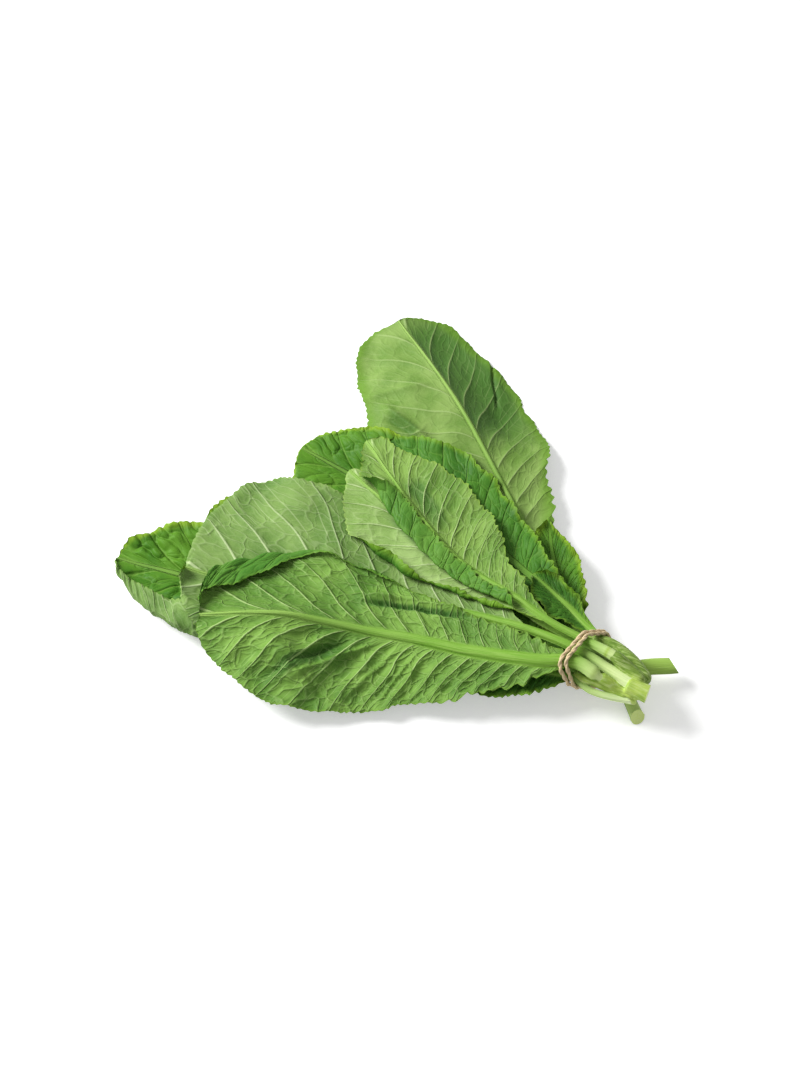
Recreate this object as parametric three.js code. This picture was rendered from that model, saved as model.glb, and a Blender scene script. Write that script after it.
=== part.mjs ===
// A tied bunch of mustard greens lying on a surface. Millimetres, +Z up.
// Each leaf is one closed solid of stalk, midrib and blade. The leaves are laid down one after
// another, and each settles on the surface and on the leaves that already lie there.
import * as THREE from 'three'

const bladeThickness = 1.2
const clearance = 0.5 // kept between a leaf and what it lies on
const petioleWing = 0.35 // narrow edge that runs down both sides of a stalk
const ribTipRadius = 0.5
const ribBulge = 0.95 // height of the midrib over the blade, per radius
const stalkBelly = 0.6 // height of the stalk's inner side, per radius
const bladeSteps = 4 // points from the midrib to each margin
const ribSteps = [-1, -0.6, 0, 0.6, 1] // points across the midrib, per radius
const sectionSpacing = 14 // along a leaf
const tipCrowding = 0.65 // sections lie closer together at the tip, where the outline turns round
const flatBase = 0.15 // share of the blade's length over which its slopes set in
const rollEase = 0.12 // share over which a rolled margin sets in, along and across the blade
const rollBend = 0.28 // share of the half width past its start that a roll turns over
const bellyFade = 0.25 // share of the leaf past the blade's base where the stalk's belly is gone
const stalkHeight = 4.5 // of a stalk that lies alone in the tie
const sag = 0.6 // drop of a leaf between two supports, per relaxing step
const relaxSteps = 60

// The tie: a ring of twine around all stalks, leaning back over the leaves.
const tie = {
  centre: new THREE.Vector3(125, -121, 15),
  across: new THREE.Vector3(0.6, 0.8, 0),
  along: new THREE.Vector3(0.8, -0.6, 0), // from the leaves to the cut ends
  lean: 32,
  width: 5.2, // two turns side by side
  thickness: 2.6,
  halfSpan: 30,
  grip: 8, // the stalks run straight this far on both sides
}

const crown = { start: [149, -142, 32], end: [160, -150, 29], radius: [6.5, 8, 7.2, 5.5] }

const green = { top: 0x4f9227, under: 0x86ad55, pale: 0x93b765, dark: 0x3d7a25 }

// Each stalk runs from its cut end through the tie, at slot mm across it, and along rib to the tip.
// Both routes are given as the leaf would lie alone. left and right: half widths of the blade at
// even steps from its base to its tip, for someone looking from the tie to the tip. fold: slope of
// each half at the midrib. bend: further slope gained out to the margin. rolls: margins that turn
// over, between two places along the blade.
const leaves = [
  {
    name: 'leaf_top', face: 'under', colour: green.under, stalk: 3.8, base: 0.33, slot: 8.5,
    cut: [[153, -150, 4]],
    rib: [[96, -40, 9], [69, 17, 16], [38, 80, 18], [3, 153, 5]],
    left: [1, 22, 46, 58, 56, 44], right: [1, 24, 42, 46, 44, 36],
    fold: [-8, -34], bend: [-8, 10], rolls: [],
  },
  {
    name: 'leaf_curl_right', face: 'top', colour: green.top, stalk: 2.6, base: 0.3, slot: 12.5,
    cut: [[138, -116, 4]],
    rib: [[114, -73, 5], [105, -43, 6], [101, -9, 5]],
    left: [1, 8, 12, 11, 6], right: [1, 7, 12, 10, 6],
    fold: [12, 18], bend: [10, 25], rolls: [],
  },
  {
    name: 'leaf_back_centre', face: 'top', colour: green.top, stalk: 3.0, base: 0.25, slot: 0,
    cut: [[135, -128, 4]],
    rib: [[55, -37, 4], [4, 8, 4], [-58, 49, 5]],
    left: [1, 22, 34, 38, 34], right: [1, 22, 34, 38, 34],
    fold: [6, 6], bend: [-4, -4], rolls: [],
  },
  {
    name: 'leaf_left_back', face: 'top', colour: green.top, stalk: 3.0, base: 0.25, slot: -8.5,
    cut: [[131, -134, 4]],
    rib: [[36, -66, 4], [-41, -29, 4], [-122, -3, 4]],
    left: [1, 20, 32, 34, 30], right: [1, 20, 30, 32, 28],
    fold: [4, 4], bend: [0, 0], rolls: [],
  },
  {
    name: 'leaf_left_tip', face: 'top', colour: green.top, stalk: 4.0, base: 0.38, slot: -5,
    cut: [[178, -117, 5], [155, -119, 5]],
    rib: [[36, -96, 4], [-59, -75, 4], [-131, -48, 5], [-178, -34, 4]],
    left: [1, 30, 48, 62, 66, 58], right: [1, 24, 40, 46, 46, 42],
    fold: [2, 4], bend: [6, 0], rolls: [{ side: 'left', from: 0.45, to: 1, start: 0.6, turn: 168 }],
  },
  {
    name: 'leaf_under_front', face: 'top', colour: green.dark, stalk: 2.8, base: 0.42, slot: -14,
    cut: [[151, -146, 5]],
    rib: [[79, -121, 3], [36, -125, 3]],
    left: [1, 4, 8, 10, 8], right: [1, 8, 18, 20, 12],
    fold: [0, 4], bend: [0, 0], rolls: [],
  },
  {
    name: 'leaf_dark_band', face: 'top', colour: green.dark, stalk: 3.0, base: 0.25, slot: 4,
    cut: [[140, -125, 4]],
    rib: [[87, -55, 4], [49, -11, 5], [-6, 48, 6]],
    left: [1, 18, 28, 28, 22], right: [1, 20, 32, 34, 26],
    fold: [6, 10], bend: [0, 6], rolls: [],
  },
  {
    name: 'leaf_curl_low', face: 'top', colour: green.dark, stalk: 2.7, base: 0.45, slot: 15,
    cut: [[161, -134, 5]],
    rib: [[109, -77, 4], [88, -55, 4]],
    left: [1, 7, 11, 11, 8], right: [1, 6, 10, 10, 8],
    fold: [16, 12], bend: [14, 18], rolls: [],
  },
  {
    name: 'leaf_left_large', face: 'under', colour: green.pale, stalk: 4.2, base: 0.22, slot: 0,
    cut: [[147, -141, 5]],
    rib: [[79, -95, 4], [23, -75, 5], [-40, -68, 6], [-92, -56, 6], [-133, -45, 4]],
    left: [1, 12, 32, 46, 50, 44], right: [1, 22, 50, 74, 80, 76],
    fold: [-4, -2], bend: [-6, -4], rolls: [],
  },
  {
    name: 'leaf_small_folded', face: 'under', colour: green.pale, stalk: 2.7, base: 0.25, slot: 8.5,
    cut: [[140, -122, 4]],
    rib: [[36, -43, 4], [-4, -1, 5], [-29, 28, 5]],
    left: [1, 18, 30, 34, 24], right: [1, 16, 24, 26, 14],
    fold: [-2, -2], bend: [0, 0], rolls: [{ side: 'left', from: 0.1, to: 0.75, start: 0.7, turn: 150 }],
  },
  {
    name: 'leaf_middle', face: 'under', colour: green.under, stalk: 3.4, base: 0.22, slot: 4,
    cut: [[153, -136, 5]],
    rib: [[80, -75, 4], [43, -45, 5], [10, 0, 5], [-18, 50, 4]],
    left: [1, 14, 32, 38, 28, 10], right: [1, 14, 36, 42, 34, 18],
    fold: [0, 2], bend: [0, 2], rolls: [{ side: 'left', from: 0.05, to: 0.8, start: 0.35, turn: 172 }],
  },
  {
    name: 'leaf_front', face: 'under', colour: green.under, stalk: 4.2, base: 0.18, slot: -9.5,
    cut: [[143, -144, 5]],
    rib: [[66, -109, 4], [4, -97, 6], [-53, -87, 7], [-120, -85, 4]],
    left: [1, 14, 42, 60, 64, 56], right: [1, 18, 34, 44, 46, 40],
    fold: [-8, -6], bend: [-10, -6], rolls: [{ side: 'right', from: 0.45, to: 1, start: 0.8, turn: 150 }],
  },
]

const radians = THREE.MathUtils.degToRad
const lerp = THREE.MathUtils.lerp
const smooth = THREE.MathUtils.smoothstep

// A value between evenly spaced ones, x from 0 to 1, without corners.
function between(values, x) {
  const last = values.length - 1
  const place = THREE.MathUtils.clamp(x, 0, 1) * last
  const i = Math.min(Math.floor(place), last - 1)
  const at = (k) => values[THREE.MathUtils.clamp(k, 0, last)]
  const [a, b, c, d] = [at(i - 1), at(i), at(i + 1), at(i + 2)]
  const f = place - i
  return b + 0.5 * f * (c - a + f * (2 * a - 5 * b + 4 * c - d + f * (3 * (b - c) + d - a)))
}

// Half width of the blade at u along the leaf: the outline's values with a round end at the tip.
function halfWidth(leaf, side, u) {
  const x = (u - leaf.base) / (1 - leaf.base)
  if (x <= 0) return petioleWing
  const roundFrom = 0.72
  const k = Math.max(0, (x - roundFrom) / (1 - roundFrom))
  return Math.max(petioleWing, between(leaf[side], x) * Math.sqrt(Math.max(0, 1 - k * k)))
}

const ribRadius = (leaf, u) => lerp(leaf.stalk, ribTipRadius, Math.pow(u, 1.15))

// Slope of the blade's section at t from the midrib (0) to the margin (1).
function slope(leaf, side, u, t) {
  const k = side === 'left' ? 0 : 1
  const x = (u - leaf.base) / (1 - leaf.base)
  let angle = leaf.fold[k] + leaf.bend[k] * t
  for (const roll of leaf.rolls) {
    if (roll.side !== side) continue
    const begun = smooth(x, roll.from - rollEase, roll.from + rollEase)
    const window = begun * (1 - smooth(x, roll.to - rollEase, roll.to + rollEase))
    angle += roll.turn * window * smooth(t, roll.start - rollEase, roll.start + rollBend)
  }
  return radians(angle) * smooth(x, 0, flatBase)
}

// The section's points from the left margin to the right one, as [offset to the right, height,
// slope, distance from the midrib per its radius].
function sectionLine(leaf, u) {
  const radius = ribRadius(leaf, u)
  const fine = 6
  const half = (side, sign) => {
    const width = halfWidth(leaf, side, u)
    const points = []
    let out = radius
    let up = 0
    for (let n = 1; n <= bladeSteps * fine; n++) {
      const angle = slope(leaf, side, u, (n - 0.5) / (bladeSteps * fine))
      out += (Math.cos(angle) * width) / (bladeSteps * fine)
      up += (Math.sin(angle) * width) / (bladeSteps * fine)
      if (n % fine !== 0) continue
      const here = slope(leaf, side, u, n / (bladeSteps * fine))
      points.push([sign * out, up, sign * here, 2])
    }
    return points
  }
  const rib = ribSteps.map((f) => [f * radius, 0, 0, Math.abs(f)])
  return [...half('left', -1).reverse(), ...rib, ...half('right', 1)]
}

const placeAlong = (s) => s + tipCrowding * s * s * (1 - s)

// Rows of points of a leaf's upper and lower sheet, before it settles.
function sheets(leaf) {
  const held = [tie.grip, -tie.grip].map((s) => tie.centre.clone().setZ(stalkHeight)
    .addScaledVector(tie.across, leaf.slot).addScaledVector(tie.along, s))
  const point = (p) => new THREE.Vector3(...p)
  const path = new THREE.CatmullRomCurve3([...leaf.cut.map(point), ...held, ...leaf.rib.map(point)], false,
    'centripetal')
  const count = Math.max(12, Math.round(path.getLength() / sectionSpacing))
  const up = new THREE.Vector3(0, 0, 1)
  const upper = []
  const lower = []
  for (let i = 0; i <= count; i++) {
    const u = placeAlong(i / count)
    const centre = path.getPointAt(u)
    const ahead = path.getTangentAt(u)
    const right = new THREE.Vector3().crossVectors(ahead, up).normalize()
    const over = new THREE.Vector3().crossVectors(right, ahead)
    const radius = ribRadius(leaf, u)
    const stalkness = 1 - smooth(u, leaf.base * 0.8, leaf.base + bellyFade)
    const place = (out, height) => centre.clone().addScaledVector(right, out).addScaledVector(over, height)
    const top = []
    const bottom = []
    for (const [out, height, angle, r] of sectionLine(leaf, u)) {
      const round = r < 1 ? Math.sqrt(1 - r * r) : 0
      const outer = bladeThickness / 2 + ribBulge * radius * round
      const inner = bladeThickness / 2 + stalkBelly * radius * round * stalkness
      const [above, below] = leaf.face === 'under' ? [outer, inner] : [inner, outer]
      top.push(place(out - Math.sin(angle) * above, height + Math.cos(angle) * above))
      bottom.push(place(out + Math.sin(angle) * below, height - Math.cos(angle) * below))
    }
    upper.push(top)
    lower.push(bottom)
  }
  return { upper, lower, narrow: upper.map((_, i) => placeAlong(i / count) < leaf.base + 0.04) }
}

// Height of everything laid down so far, on a grid of small cells.
const field = { x: -225, y: -200, cell: 0.8, nx: 562, ny: 500 }
const heights = new Float32Array(field.nx * field.ny)
const cellOf = (x, y) => {
  return Math.round((y - field.y) / field.cell) * field.nx + Math.round((x - field.x) / field.cell)
}

function heightAt(x, y) {
  const c = cellOf(x, y)
  let top = 0
  for (const dy of [-field.nx, 0, field.nx]) {
    top = Math.max(top, heights[c + dy - 1], heights[c + dy], heights[c + dy + 1])
  }
  return top
}

// Calls visit(point, i, j, f, g) at closely spaced points of a sheet: patch i, j and the place in it.
function sample(rows, visit) {
  const p = new THREE.Vector3()
  const q = new THREE.Vector3()
  for (let i = 0; i + 1 < rows.length; i++) {
    for (let j = 0; j + 1 < rows[i].length; j++) {
      const [a, b, c, d] = [rows[i][j], rows[i][j + 1], rows[i + 1][j], rows[i + 1][j + 1]]
      const m = Math.ceil(Math.max(a.distanceTo(b), c.distanceTo(d)) / field.cell)
      const n = Math.ceil(Math.max(a.distanceTo(c), b.distanceTo(d)) / field.cell)
      for (let k = 0; k <= n; k++) {
        for (let l = 0; l <= m; l++) {
          p.lerpVectors(a, b, l / m)
          q.lerpVectors(c, d, l / m)
          visit(p.lerp(q, k / n), i, j, k / n, l / m)
        }
      }
    }
  }
}

// Raises the leaf's points just enough to clear what lies below, and lets it sag between supports.
function settle(leaf) {
  const { upper, lower, narrow } = sheets(leaf)
  const contacts = []
  const note = (point, i, j, f, g) => {
    const gap = heightAt(point.x, point.y) + clearance - point.z
    if (gap <= 0) return
    const near = [[i, j, (1 - f) * (1 - g)], [i, j + 1, (1 - f) * g]]
    const far = [[i + 1, j, f * (1 - g)], [i + 1, j + 1, f * g]]
    contacts.push({ gap, corners: [...near, ...far] })
  }
  sample(lower, note)
  sample(upper, note)
  // A stalk and a midrib keep their shape, so all their points in a section rise together.
  const stiffen = (row, i) => {
    const first = narrow[i] ? 0 : bladeSteps
    const last = row.length - 1 - first
    const top = Math.max(...row.slice(first, last + 1))
    return row.map((v, j) => (j >= first && j <= last ? top : v))
  }
  const pushUp = (lift, share) => {
    const push = lift.map((row) => row.map(() => 0))
    for (const { gap, corners } of contacts) {
      const short = gap - corners.reduce((sum, [i, j, w]) => sum + w * lift[i][j], 0)
      if (short <= 0) continue
      const spread = corners.reduce((sum, [, , w]) => sum + w * w, 0)
      for (const [i, j, w] of corners) push[i][j] = Math.max(push[i][j], short * (share ? w / spread : 1))
    }
    return lift.map((row, i) => row.map((v, j) => v + push[i][j])).map(stiffen)
  }
  let lift = lower.map((row) => row.map(() => 0))
  for (let n = 0; n < relaxSteps; n++) {
    const sagged = lift.map((row, i) => row.map((_, j) => {
      const near = [lift[i - 1]?.[j], lift[i + 1]?.[j], row[j - 1], row[j + 1]].filter((v) => v !== undefined)
      return Math.max(0, near.reduce((sum, v) => sum + v, 0) / near.length - sag)
    }))
    lift = pushUp(sagged, true)
  }
  lift = pushUp(lift, false)
  for (const rows of [upper, lower]) rows.forEach((row, i) => row.forEach((p, j) => { p.z += lift[i][j] }))
  const mark = (point) => {
    const c = cellOf(point.x, point.y)
    heights[c] = Math.max(heights[c], point.z)
  }
  sample(upper, mark)
  sample(lower, mark)
  return { upper, lower }
}

// A closed solid through rings of points, which run clockwise seen from the first one. Its ends
// are closed by strips across the ring, or the last ring joins the first.
function solidOf(rings, joined = false) {
  const size = rings[0].length
  const faces = []
  for (let i = 0; i < (joined ? rings.length : rings.length - 1); i++) {
    const a = i * size
    const b = ((i + 1) % rings.length) * size
    for (let j = 0; j < size; j++) {
      const k = (j + 1) % size
      faces.push(a + j, a + k, b + k, a + j, b + k, b + j)
    }
  }
  if (!joined) {
    const end = (rings.length - 1) * size
    for (let j = 0; j < size / 2 - 1; j++) {
      const k = size - 1 - j
      faces.push(j, k, j + 1, j + 1, k, k - 1)
      faces.push(end + j, end + j + 1, end + k, end + j + 1, end + k - 1, end + k)
    }
  }
  const geometry = new THREE.BufferGeometry()
  const positions = rings.flat().flatMap((p) => [p.x, p.y, p.z])
  geometry.setAttribute('position', new THREE.Float32BufferAttribute(positions, 3))
  geometry.setIndex(faces)
  geometry.computeVertexNormals()
  return geometry
}

// The convex outline around a set of flat points.
function hull(points) {
  const sorted = [...points].sort((a, b) => a.x - b.x || a.y - b.y)
  const turn = (o, a, b) => (a.x - o.x) * (b.y - o.y) - (a.y - o.y) * (b.x - o.x)
  const side = (list) => {
    const out = []
    for (const p of list) {
      while (out.length > 1 && turn(out[out.length - 2], out[out.length - 1], p) <= 0) out.pop()
      out.push(p)
    }
    return out.slice(0, -1)
  }
  return [...side(sorted), ...side(sorted.reverse())]
}

// The ring of twine, pulled tight around the stalks where it lies.
function twineRing(solids) {
  const lean = radians(tie.lean)
  const rise = tie.along.clone().multiplyScalar(-Math.sin(lean)).add(new THREE.Vector3(0, 0, Math.cos(lean)))
  const facing = tie.along.clone().multiplyScalar(Math.cos(lean)).add(new THREE.Vector3(0, 0, Math.sin(lean)))
  const inside = []
  for (const { upper, lower } of solids) {
    for (const rows of [upper, lower]) {
      sample(rows, (point) => {
        const from = point.clone().sub(tie.centre)
        const across = from.dot(tie.across)
        if (Math.abs(from.dot(facing)) < tie.width / 2 + clearance && Math.abs(across) < tie.halfSpan) {
          inside.push(new THREE.Vector2(across, from.dot(rise)))
        }
      })
    }
  }
  const outline = hull(inside)
  const sides = 28
  const centre = outline.reduce((sum, p) => sum.add(p), new THREE.Vector2()).divideScalar(outline.length)
  const rings = []
  for (let n = 0; n < sides; n++) {
    const angle = (n / sides) * 2 * Math.PI
    const out = new THREE.Vector2(Math.cos(angle), Math.sin(angle))
    const reach = Math.max(...outline.map((p) => p.clone().sub(centre).dot(out)))
    const ahead = new THREE.Vector2(-out.y, out.x)
    rings.push({ out, reach, ahead })
  }
  // Support lines of the outline meet in the points of the ring's own path.
  const path = rings.map(({ out, reach, ahead }, n) => {
    const next = rings[(n + 1) % sides]
    const turn = out.x * next.out.y - out.y * next.out.x
    const along = (next.reach - reach * out.dot(next.out)) / turn
    return out.clone().multiplyScalar(reach).addScaledVector(ahead, along).add(centre)
  })
  return path.map((p, n) => {
    const before = path[(n + sides - 1) % sides]
    const after = path[(n + 1) % sides]
    const ahead = after.clone().sub(before).normalize()
    const outward = new THREE.Vector2(ahead.y, -ahead.x)
    const corners = 8
    return Array.from({ length: corners }, (_, k) => {
      const a = (k / corners) * 2 * Math.PI
      const away = clearance / 2 + (tie.thickness / 2) * (1 + Math.cos(a))
      const flat = p.clone().addScaledVector(outward, away)
      return tie.centre.clone()
        .addScaledVector(tie.across, flat.x)
        .addScaledVector(rise, flat.y)
        .addScaledVector(facing, (-tie.width / 2) * Math.sin(a))
    })
  })
}

// The cut crown: a short knobbly body.
function crownSolid() {
  const start = new THREE.Vector3(...crown.start)
  const end = new THREE.Vector3(...crown.end)
  const ahead = end.clone().sub(start).normalize()
  const right = new THREE.Vector3().crossVectors(ahead, new THREE.Vector3(0, 0, 1)).normalize()
  const over = new THREE.Vector3().crossVectors(right, ahead)
  const corners = 16
  return crown.radius.map((radius, i) => {
    const centre = start.clone().lerp(end, i / (crown.radius.length - 1))
    return Array.from({ length: corners }, (_, k) => {
      const a = (k / corners) * 2 * Math.PI
      const r = radius * (1 + 0.08 * Math.cos(3 * a + i))
      return centre.clone().addScaledVector(right, r * Math.cos(a)).addScaledVector(over, -r * Math.sin(a))
    })
  })
}

function named(name, geometry, colour, roughness) {
  const material = new THREE.MeshStandardMaterial({ color: colour, roughness, metalness: 0 })
  const mesh = new THREE.Mesh(geometry, material)
  mesh.name = name
  return mesh
}

// The surface under the stalks is raised where the twine's lower run passes.
function layTwine() {
  const drop = tie.centre.z * Math.tan(radians(tie.lean))
  for (let q = -tie.halfSpan; q <= tie.halfSpan; q += 0.5) {
    for (let s = -tie.width; s <= tie.width; s += 0.5) {
      const x = tie.centre.x + tie.across.x * q + tie.along.x * (s + drop)
      const y = tie.centre.y + tie.across.y * q + tie.along.y * (s + drop)
      heights[cellOf(x, y)] = tie.thickness + clearance
    }
  }
}

layTwine()
const bunch = new THREE.Group()
const solids = leaves.map(settle)
solids.forEach(({ upper, lower }, i) => {
  const rings = upper.map((row, k) => [...row, ...lower[k].slice().reverse()])
  bunch.add(named(leaves[i].name, solidOf(rings), leaves[i].colour, 0.55))
})
bunch.add(named('stump', solidOf(crownSolid()), 0x9cc23e, 0.45))
bunch.add(named('twine_tie', solidOf(twineRing(solids), true), 0xb79a78, 0.9))

// The routes above are given from the middle of the footprint, so only the height is set here.
bunch.position.z = -new THREE.Box3().setFromObject(bunch).min.z

export default bunch
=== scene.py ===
import math
import bpy
import numpy as np
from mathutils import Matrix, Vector


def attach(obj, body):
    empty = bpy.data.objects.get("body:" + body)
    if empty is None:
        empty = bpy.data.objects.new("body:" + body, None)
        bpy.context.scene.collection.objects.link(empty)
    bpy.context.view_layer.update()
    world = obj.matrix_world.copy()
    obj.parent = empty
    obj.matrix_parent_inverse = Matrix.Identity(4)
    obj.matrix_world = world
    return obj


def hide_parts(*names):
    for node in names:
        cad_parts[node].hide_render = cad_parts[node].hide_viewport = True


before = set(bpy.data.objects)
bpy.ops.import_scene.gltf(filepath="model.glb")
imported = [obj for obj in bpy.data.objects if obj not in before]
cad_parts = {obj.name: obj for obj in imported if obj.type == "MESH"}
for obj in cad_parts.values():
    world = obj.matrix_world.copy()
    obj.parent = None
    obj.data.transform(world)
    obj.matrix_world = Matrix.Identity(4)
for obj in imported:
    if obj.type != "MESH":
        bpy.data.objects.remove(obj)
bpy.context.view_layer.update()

# A tied bunch of mustard greens lying on a white surface. Lengths are in mm and become metres in
# the meshes. "left" and "right" are as seen from the tie towards a leaf's tip.
mm = 0.001

cameraSetup = {
    "lookAt": (4, -13, 0.6),
    "elevation": 60,  # degrees
    "distance": 1637,
    "lens": 85,
}
lightSetup = {
    "ambient": 0.38,  # strength of the even light from all round
    "keyEnergy": 88,  # W, the large soft box
    "keySize": 1.2,  # m
    "keyPlace": (-1.75, 0.7, 1.55),  # m, up, to the left and a little behind
}
floorSetup = {
    "size": 6.0,  # m
    "colour": "#efefef",
    "lift": 0.4,  # white added where the camera looks, so that only the shadow stays grey
}


def linear(hexColour):
    # sRGB hex to the linear values that the shaders take
    parts = [int(hexColour[i:i + 2], 16) / 255 for i in (1, 3, 5)]
    return [c / 12.92 if c <= 0.04045 else ((c + 0.055) / 1.055) ** 2.4 for c in parts] + [1.0]


def addNode(tree, kind, inputs=None, **settings):
    # inputs: socket name or number -> value, socket or node (its first live output is linked)
    made = tree.nodes.new("ShaderNode" + kind)
    for name, value in settings.items():
        setattr(made, name, value)
    for key, value in (inputs or {}).items():
        if isinstance(value, bpy.types.Node):
            value = next(out for out in value.outputs if out.enabled)
        if isinstance(value, bpy.types.NodeSocket):
            tree.links.new(value, made.inputs[key])
        else:
            made.inputs[key].default_value = value
    return made


def emptyTree(owner):
    # clears the owner's nodes and returns what adds new ones
    owner.use_nodes = True
    owner.node_tree.nodes.clear()
    return lambda kind, inputs=None, **settings: addNode(owner.node_tree, kind, inputs, **settings)


def seenDirectly(add):
    # 1 for what the camera sees, also in a reflection or through something clear
    path = add("LightPath")
    seen = path.outputs["Is Camera Ray"]
    for ray in ("Is Glossy Ray", "Is Transmission Ray"):
        seen = add("Math", {0: seen, 1: path.outputs[ray]}, operation="MAXIMUM")
    return seen


def makeCamera():
    angle = math.radians(cameraSetup["elevation"])
    target = Vector(cameraSetup["lookAt"]) * mm
    away = Vector((0, -math.cos(angle), math.sin(angle)))
    data = bpy.data.cameras.new("camera")
    data.lens = cameraSetup["lens"]
    data.sensor_width = 36
    camera = bpy.data.objects.new("camera", data)
    camera.location = target + away * cameraSetup["distance"] * mm
    camera.rotation_euler = away.to_track_quat("Z", "Y").to_euler()
    bpy.context.scene.collection.objects.link(camera)
    bpy.context.scene.camera = camera


def makeLight():
    world = bpy.data.worlds.new("world")
    add = emptyTree(world)
    even = add("Background", {"Color": linear("#ffffff"), "Strength": lightSetup["ambient"]})
    white = add("Background", {"Color": linear("#ffffff"), "Strength": 1.0})
    add("OutputWorld", {"Surface": add("MixShader", {0: seenDirectly(add), 1: even, 2: white})})
    bpy.context.scene.world = world
    key = bpy.data.lights.new("softbox", "AREA")
    key.energy = lightSetup["keyEnergy"]
    key.shape = "DISK"
    key.size = lightSetup["keySize"]
    lamp = bpy.data.objects.new("softbox", key)
    lamp.location = lightSetup["keyPlace"]
    lamp.rotation_euler = Vector(lightSetup["keyPlace"]).to_track_quat("Z", "Y").to_euler()
    bpy.context.scene.collection.objects.link(lamp)


def makeFloor():
    # matt white table: no sheen, a soft grey shadow
    material = bpy.data.materials.new("white_table")
    add = emptyTree(material)
    glow = add("Math", {0: seenDirectly(add), 1: floorSetup["lift"]}, operation="MULTIPLY")
    matt = add("BsdfDiffuse", {"Color": linear(floorSetup["colour"])})
    lift = add("Emission", {"Color": linear("#ffffff"), "Strength": glow})
    add("OutputMaterial", {"Surface": add("AddShader", {0: matt, 1: lift})})
    bpy.ops.object.select_all(action="DESELECT")
    bpy.ops.mesh.primitive_plane_add(size=floorSetup["size"])
    floor = bpy.context.object
    floor.name = "floor"
    floor.data.materials.append(material)


def valueNoise(x, y, seed):
    # smooth noise from -1 to 1 with a lattice of 1
    rng = np.random.default_rng(seed)
    table = rng.uniform(-1, 1, (64, 64))
    i, j = np.floor(x).astype(int), np.floor(y).astype(int)
    f, g = x - i, y - j
    f, g = f * f * f * (f * (f * 6 - 15) + 10), g * g * g * (g * (g * 6 - 15) + 10)
    a, b = table[i % 64, j % 64], table[(i + 1) % 64, j % 64]
    c, d = table[i % 64, (j + 1) % 64], table[(i + 1) % 64, (j + 1) % 64]
    return (a + (b - a) * f) + ((c + (d - c) * f) - (a + (b - a) * f)) * g


def cellHash(x, y, extra):
    # the same scattering as the cell texture of the shaders, so that relief and lines agree
    uint = np.uint32
    x, y = x.astype(np.float32).view(uint), y.astype(np.float32).view(uint)
    start = uint((0xDEADBEEF + (12 if extra else 8) + 13) & 0xFFFFFFFF)
    a, b = x + start, y + start
    c = np.full_like(x, start) + (np.float32(1).view(uint) if extra else uint(0))
    for target, turn in zip("cabcabc", (14, 11, 25, 16, 4, 14, 24)):
        if target == "c":
            c = (c ^ b) - ((b << uint(turn)) | (b >> uint(32 - turn)))
        elif target == "a":
            a = (a ^ c) - ((c << uint(turn)) | (c >> uint(32 - turn)))
        else:
            b = (b ^ a) - ((a << uint(turn)) | (a >> uint(32 - turn)))
    return c / 0xFFFFFFFF


def cellEdges(x, y):
    # distance to the borders between scattered cells, in cells
    scatter = leafBuild["cellScatter"]
    i, j = np.floor(x), np.floor(y)
    around = [(di, dj) for dj in (-1, 0, 1) for di in (-1, 0, 1)]
    seeds = [(di + cellHash(i + di, j + dj, False) * scatter - (x - i),
              dj + cellHash(i + di, j + dj, True) * scatter - (y - j)) for di, dj in around]
    reach = np.array([u * u + v * v for u, v in seeds])
    nearest = reach.argmin(axis=0)[None]
    u0 = np.take_along_axis(np.array([u for u, v in seeds]), nearest, 0)[0]
    v0 = np.take_along_axis(np.array([v for u, v in seeds]), nearest, 0)[0]
    border = np.full(x.shape, 9.0)
    for u, v in seeds:
        gap = np.hypot(u - u0, v - v0)
        half = ((u0 + u) / 2 * (u - u0) + (v0 + v) / 2 * (v - v0)) / np.maximum(gap, 1e-6)
        border = np.where(gap > 1e-4, np.minimum(border, half), border)
    return border


def smooth(x, low, high):
    k = np.clip((x - low) / (high - low), 0, 1)
    return k * k * (3 - 2 * k)


tie = {
    "centre": np.array([125.0, -121.0, 15.0]),
    "across": np.array([0.6, 0.8, 0.0]),
    "along": np.array([0.8, -0.6, 0.0]),  # from the leaves to the cut ends
    "lean": 32,  # degrees that the ring leans back over the leaves
    "grip": 8,  # the stalks run straight this far on both sides
    "stalkHeight": 4.5,
    "halfSpan": 30,  # the ring is looked for this far to each side
    "bed": 5,  # half width of the strip kept free for the ring's lower run
    "twine": 2.5,  # height kept free there
}
leafBuild = {
    "thickness": 0.55,
    "wing": 0.35,  # narrow edge that runs down both sides of a stalk
    "ribTip": 0.5,  # radius of the midrib at the tip
    "ribBulge": 0.95,  # height of the midrib's outer side per radius
    "belly": 0.75,  # height of the stalk's inner side per radius
    "clearance": 0.25,
    "bladeStep": 1.25,  # between sections in the blade
    "stalkStep": 2.5,
    "ribColumns": 11,
    "roundFrom": 0.72,  # share of the blade where its outline starts to round off
    "cellScatter": 0.85,  # how unevenly the blisters lie, from 0 to 1
    "tightCells": 2.1,  # smaller cells per larger one
    "smoothAngle": 62,  # degrees
}
laying = {
    "corner": (-225.0, -200.0),  # of the height map
    "cells": (500, 562),  # its rows and columns
    "cell": 0.8,
    "rounds": ((8, 140), (4, 60), (2, 40), (1, 30)),  # cells taken together, sweeps over them
    "sag": (0.004, 0.016),  # of the stalk, and what the blade has more
    "flap": 115,  # degrees past which a margin counts as turned over
    "flat": 75,  # degrees up to which the blade can carry it
    "flapRounds": 3,
}
uvLength = 100  # mm per unit of the fibres' coordinates


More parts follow.
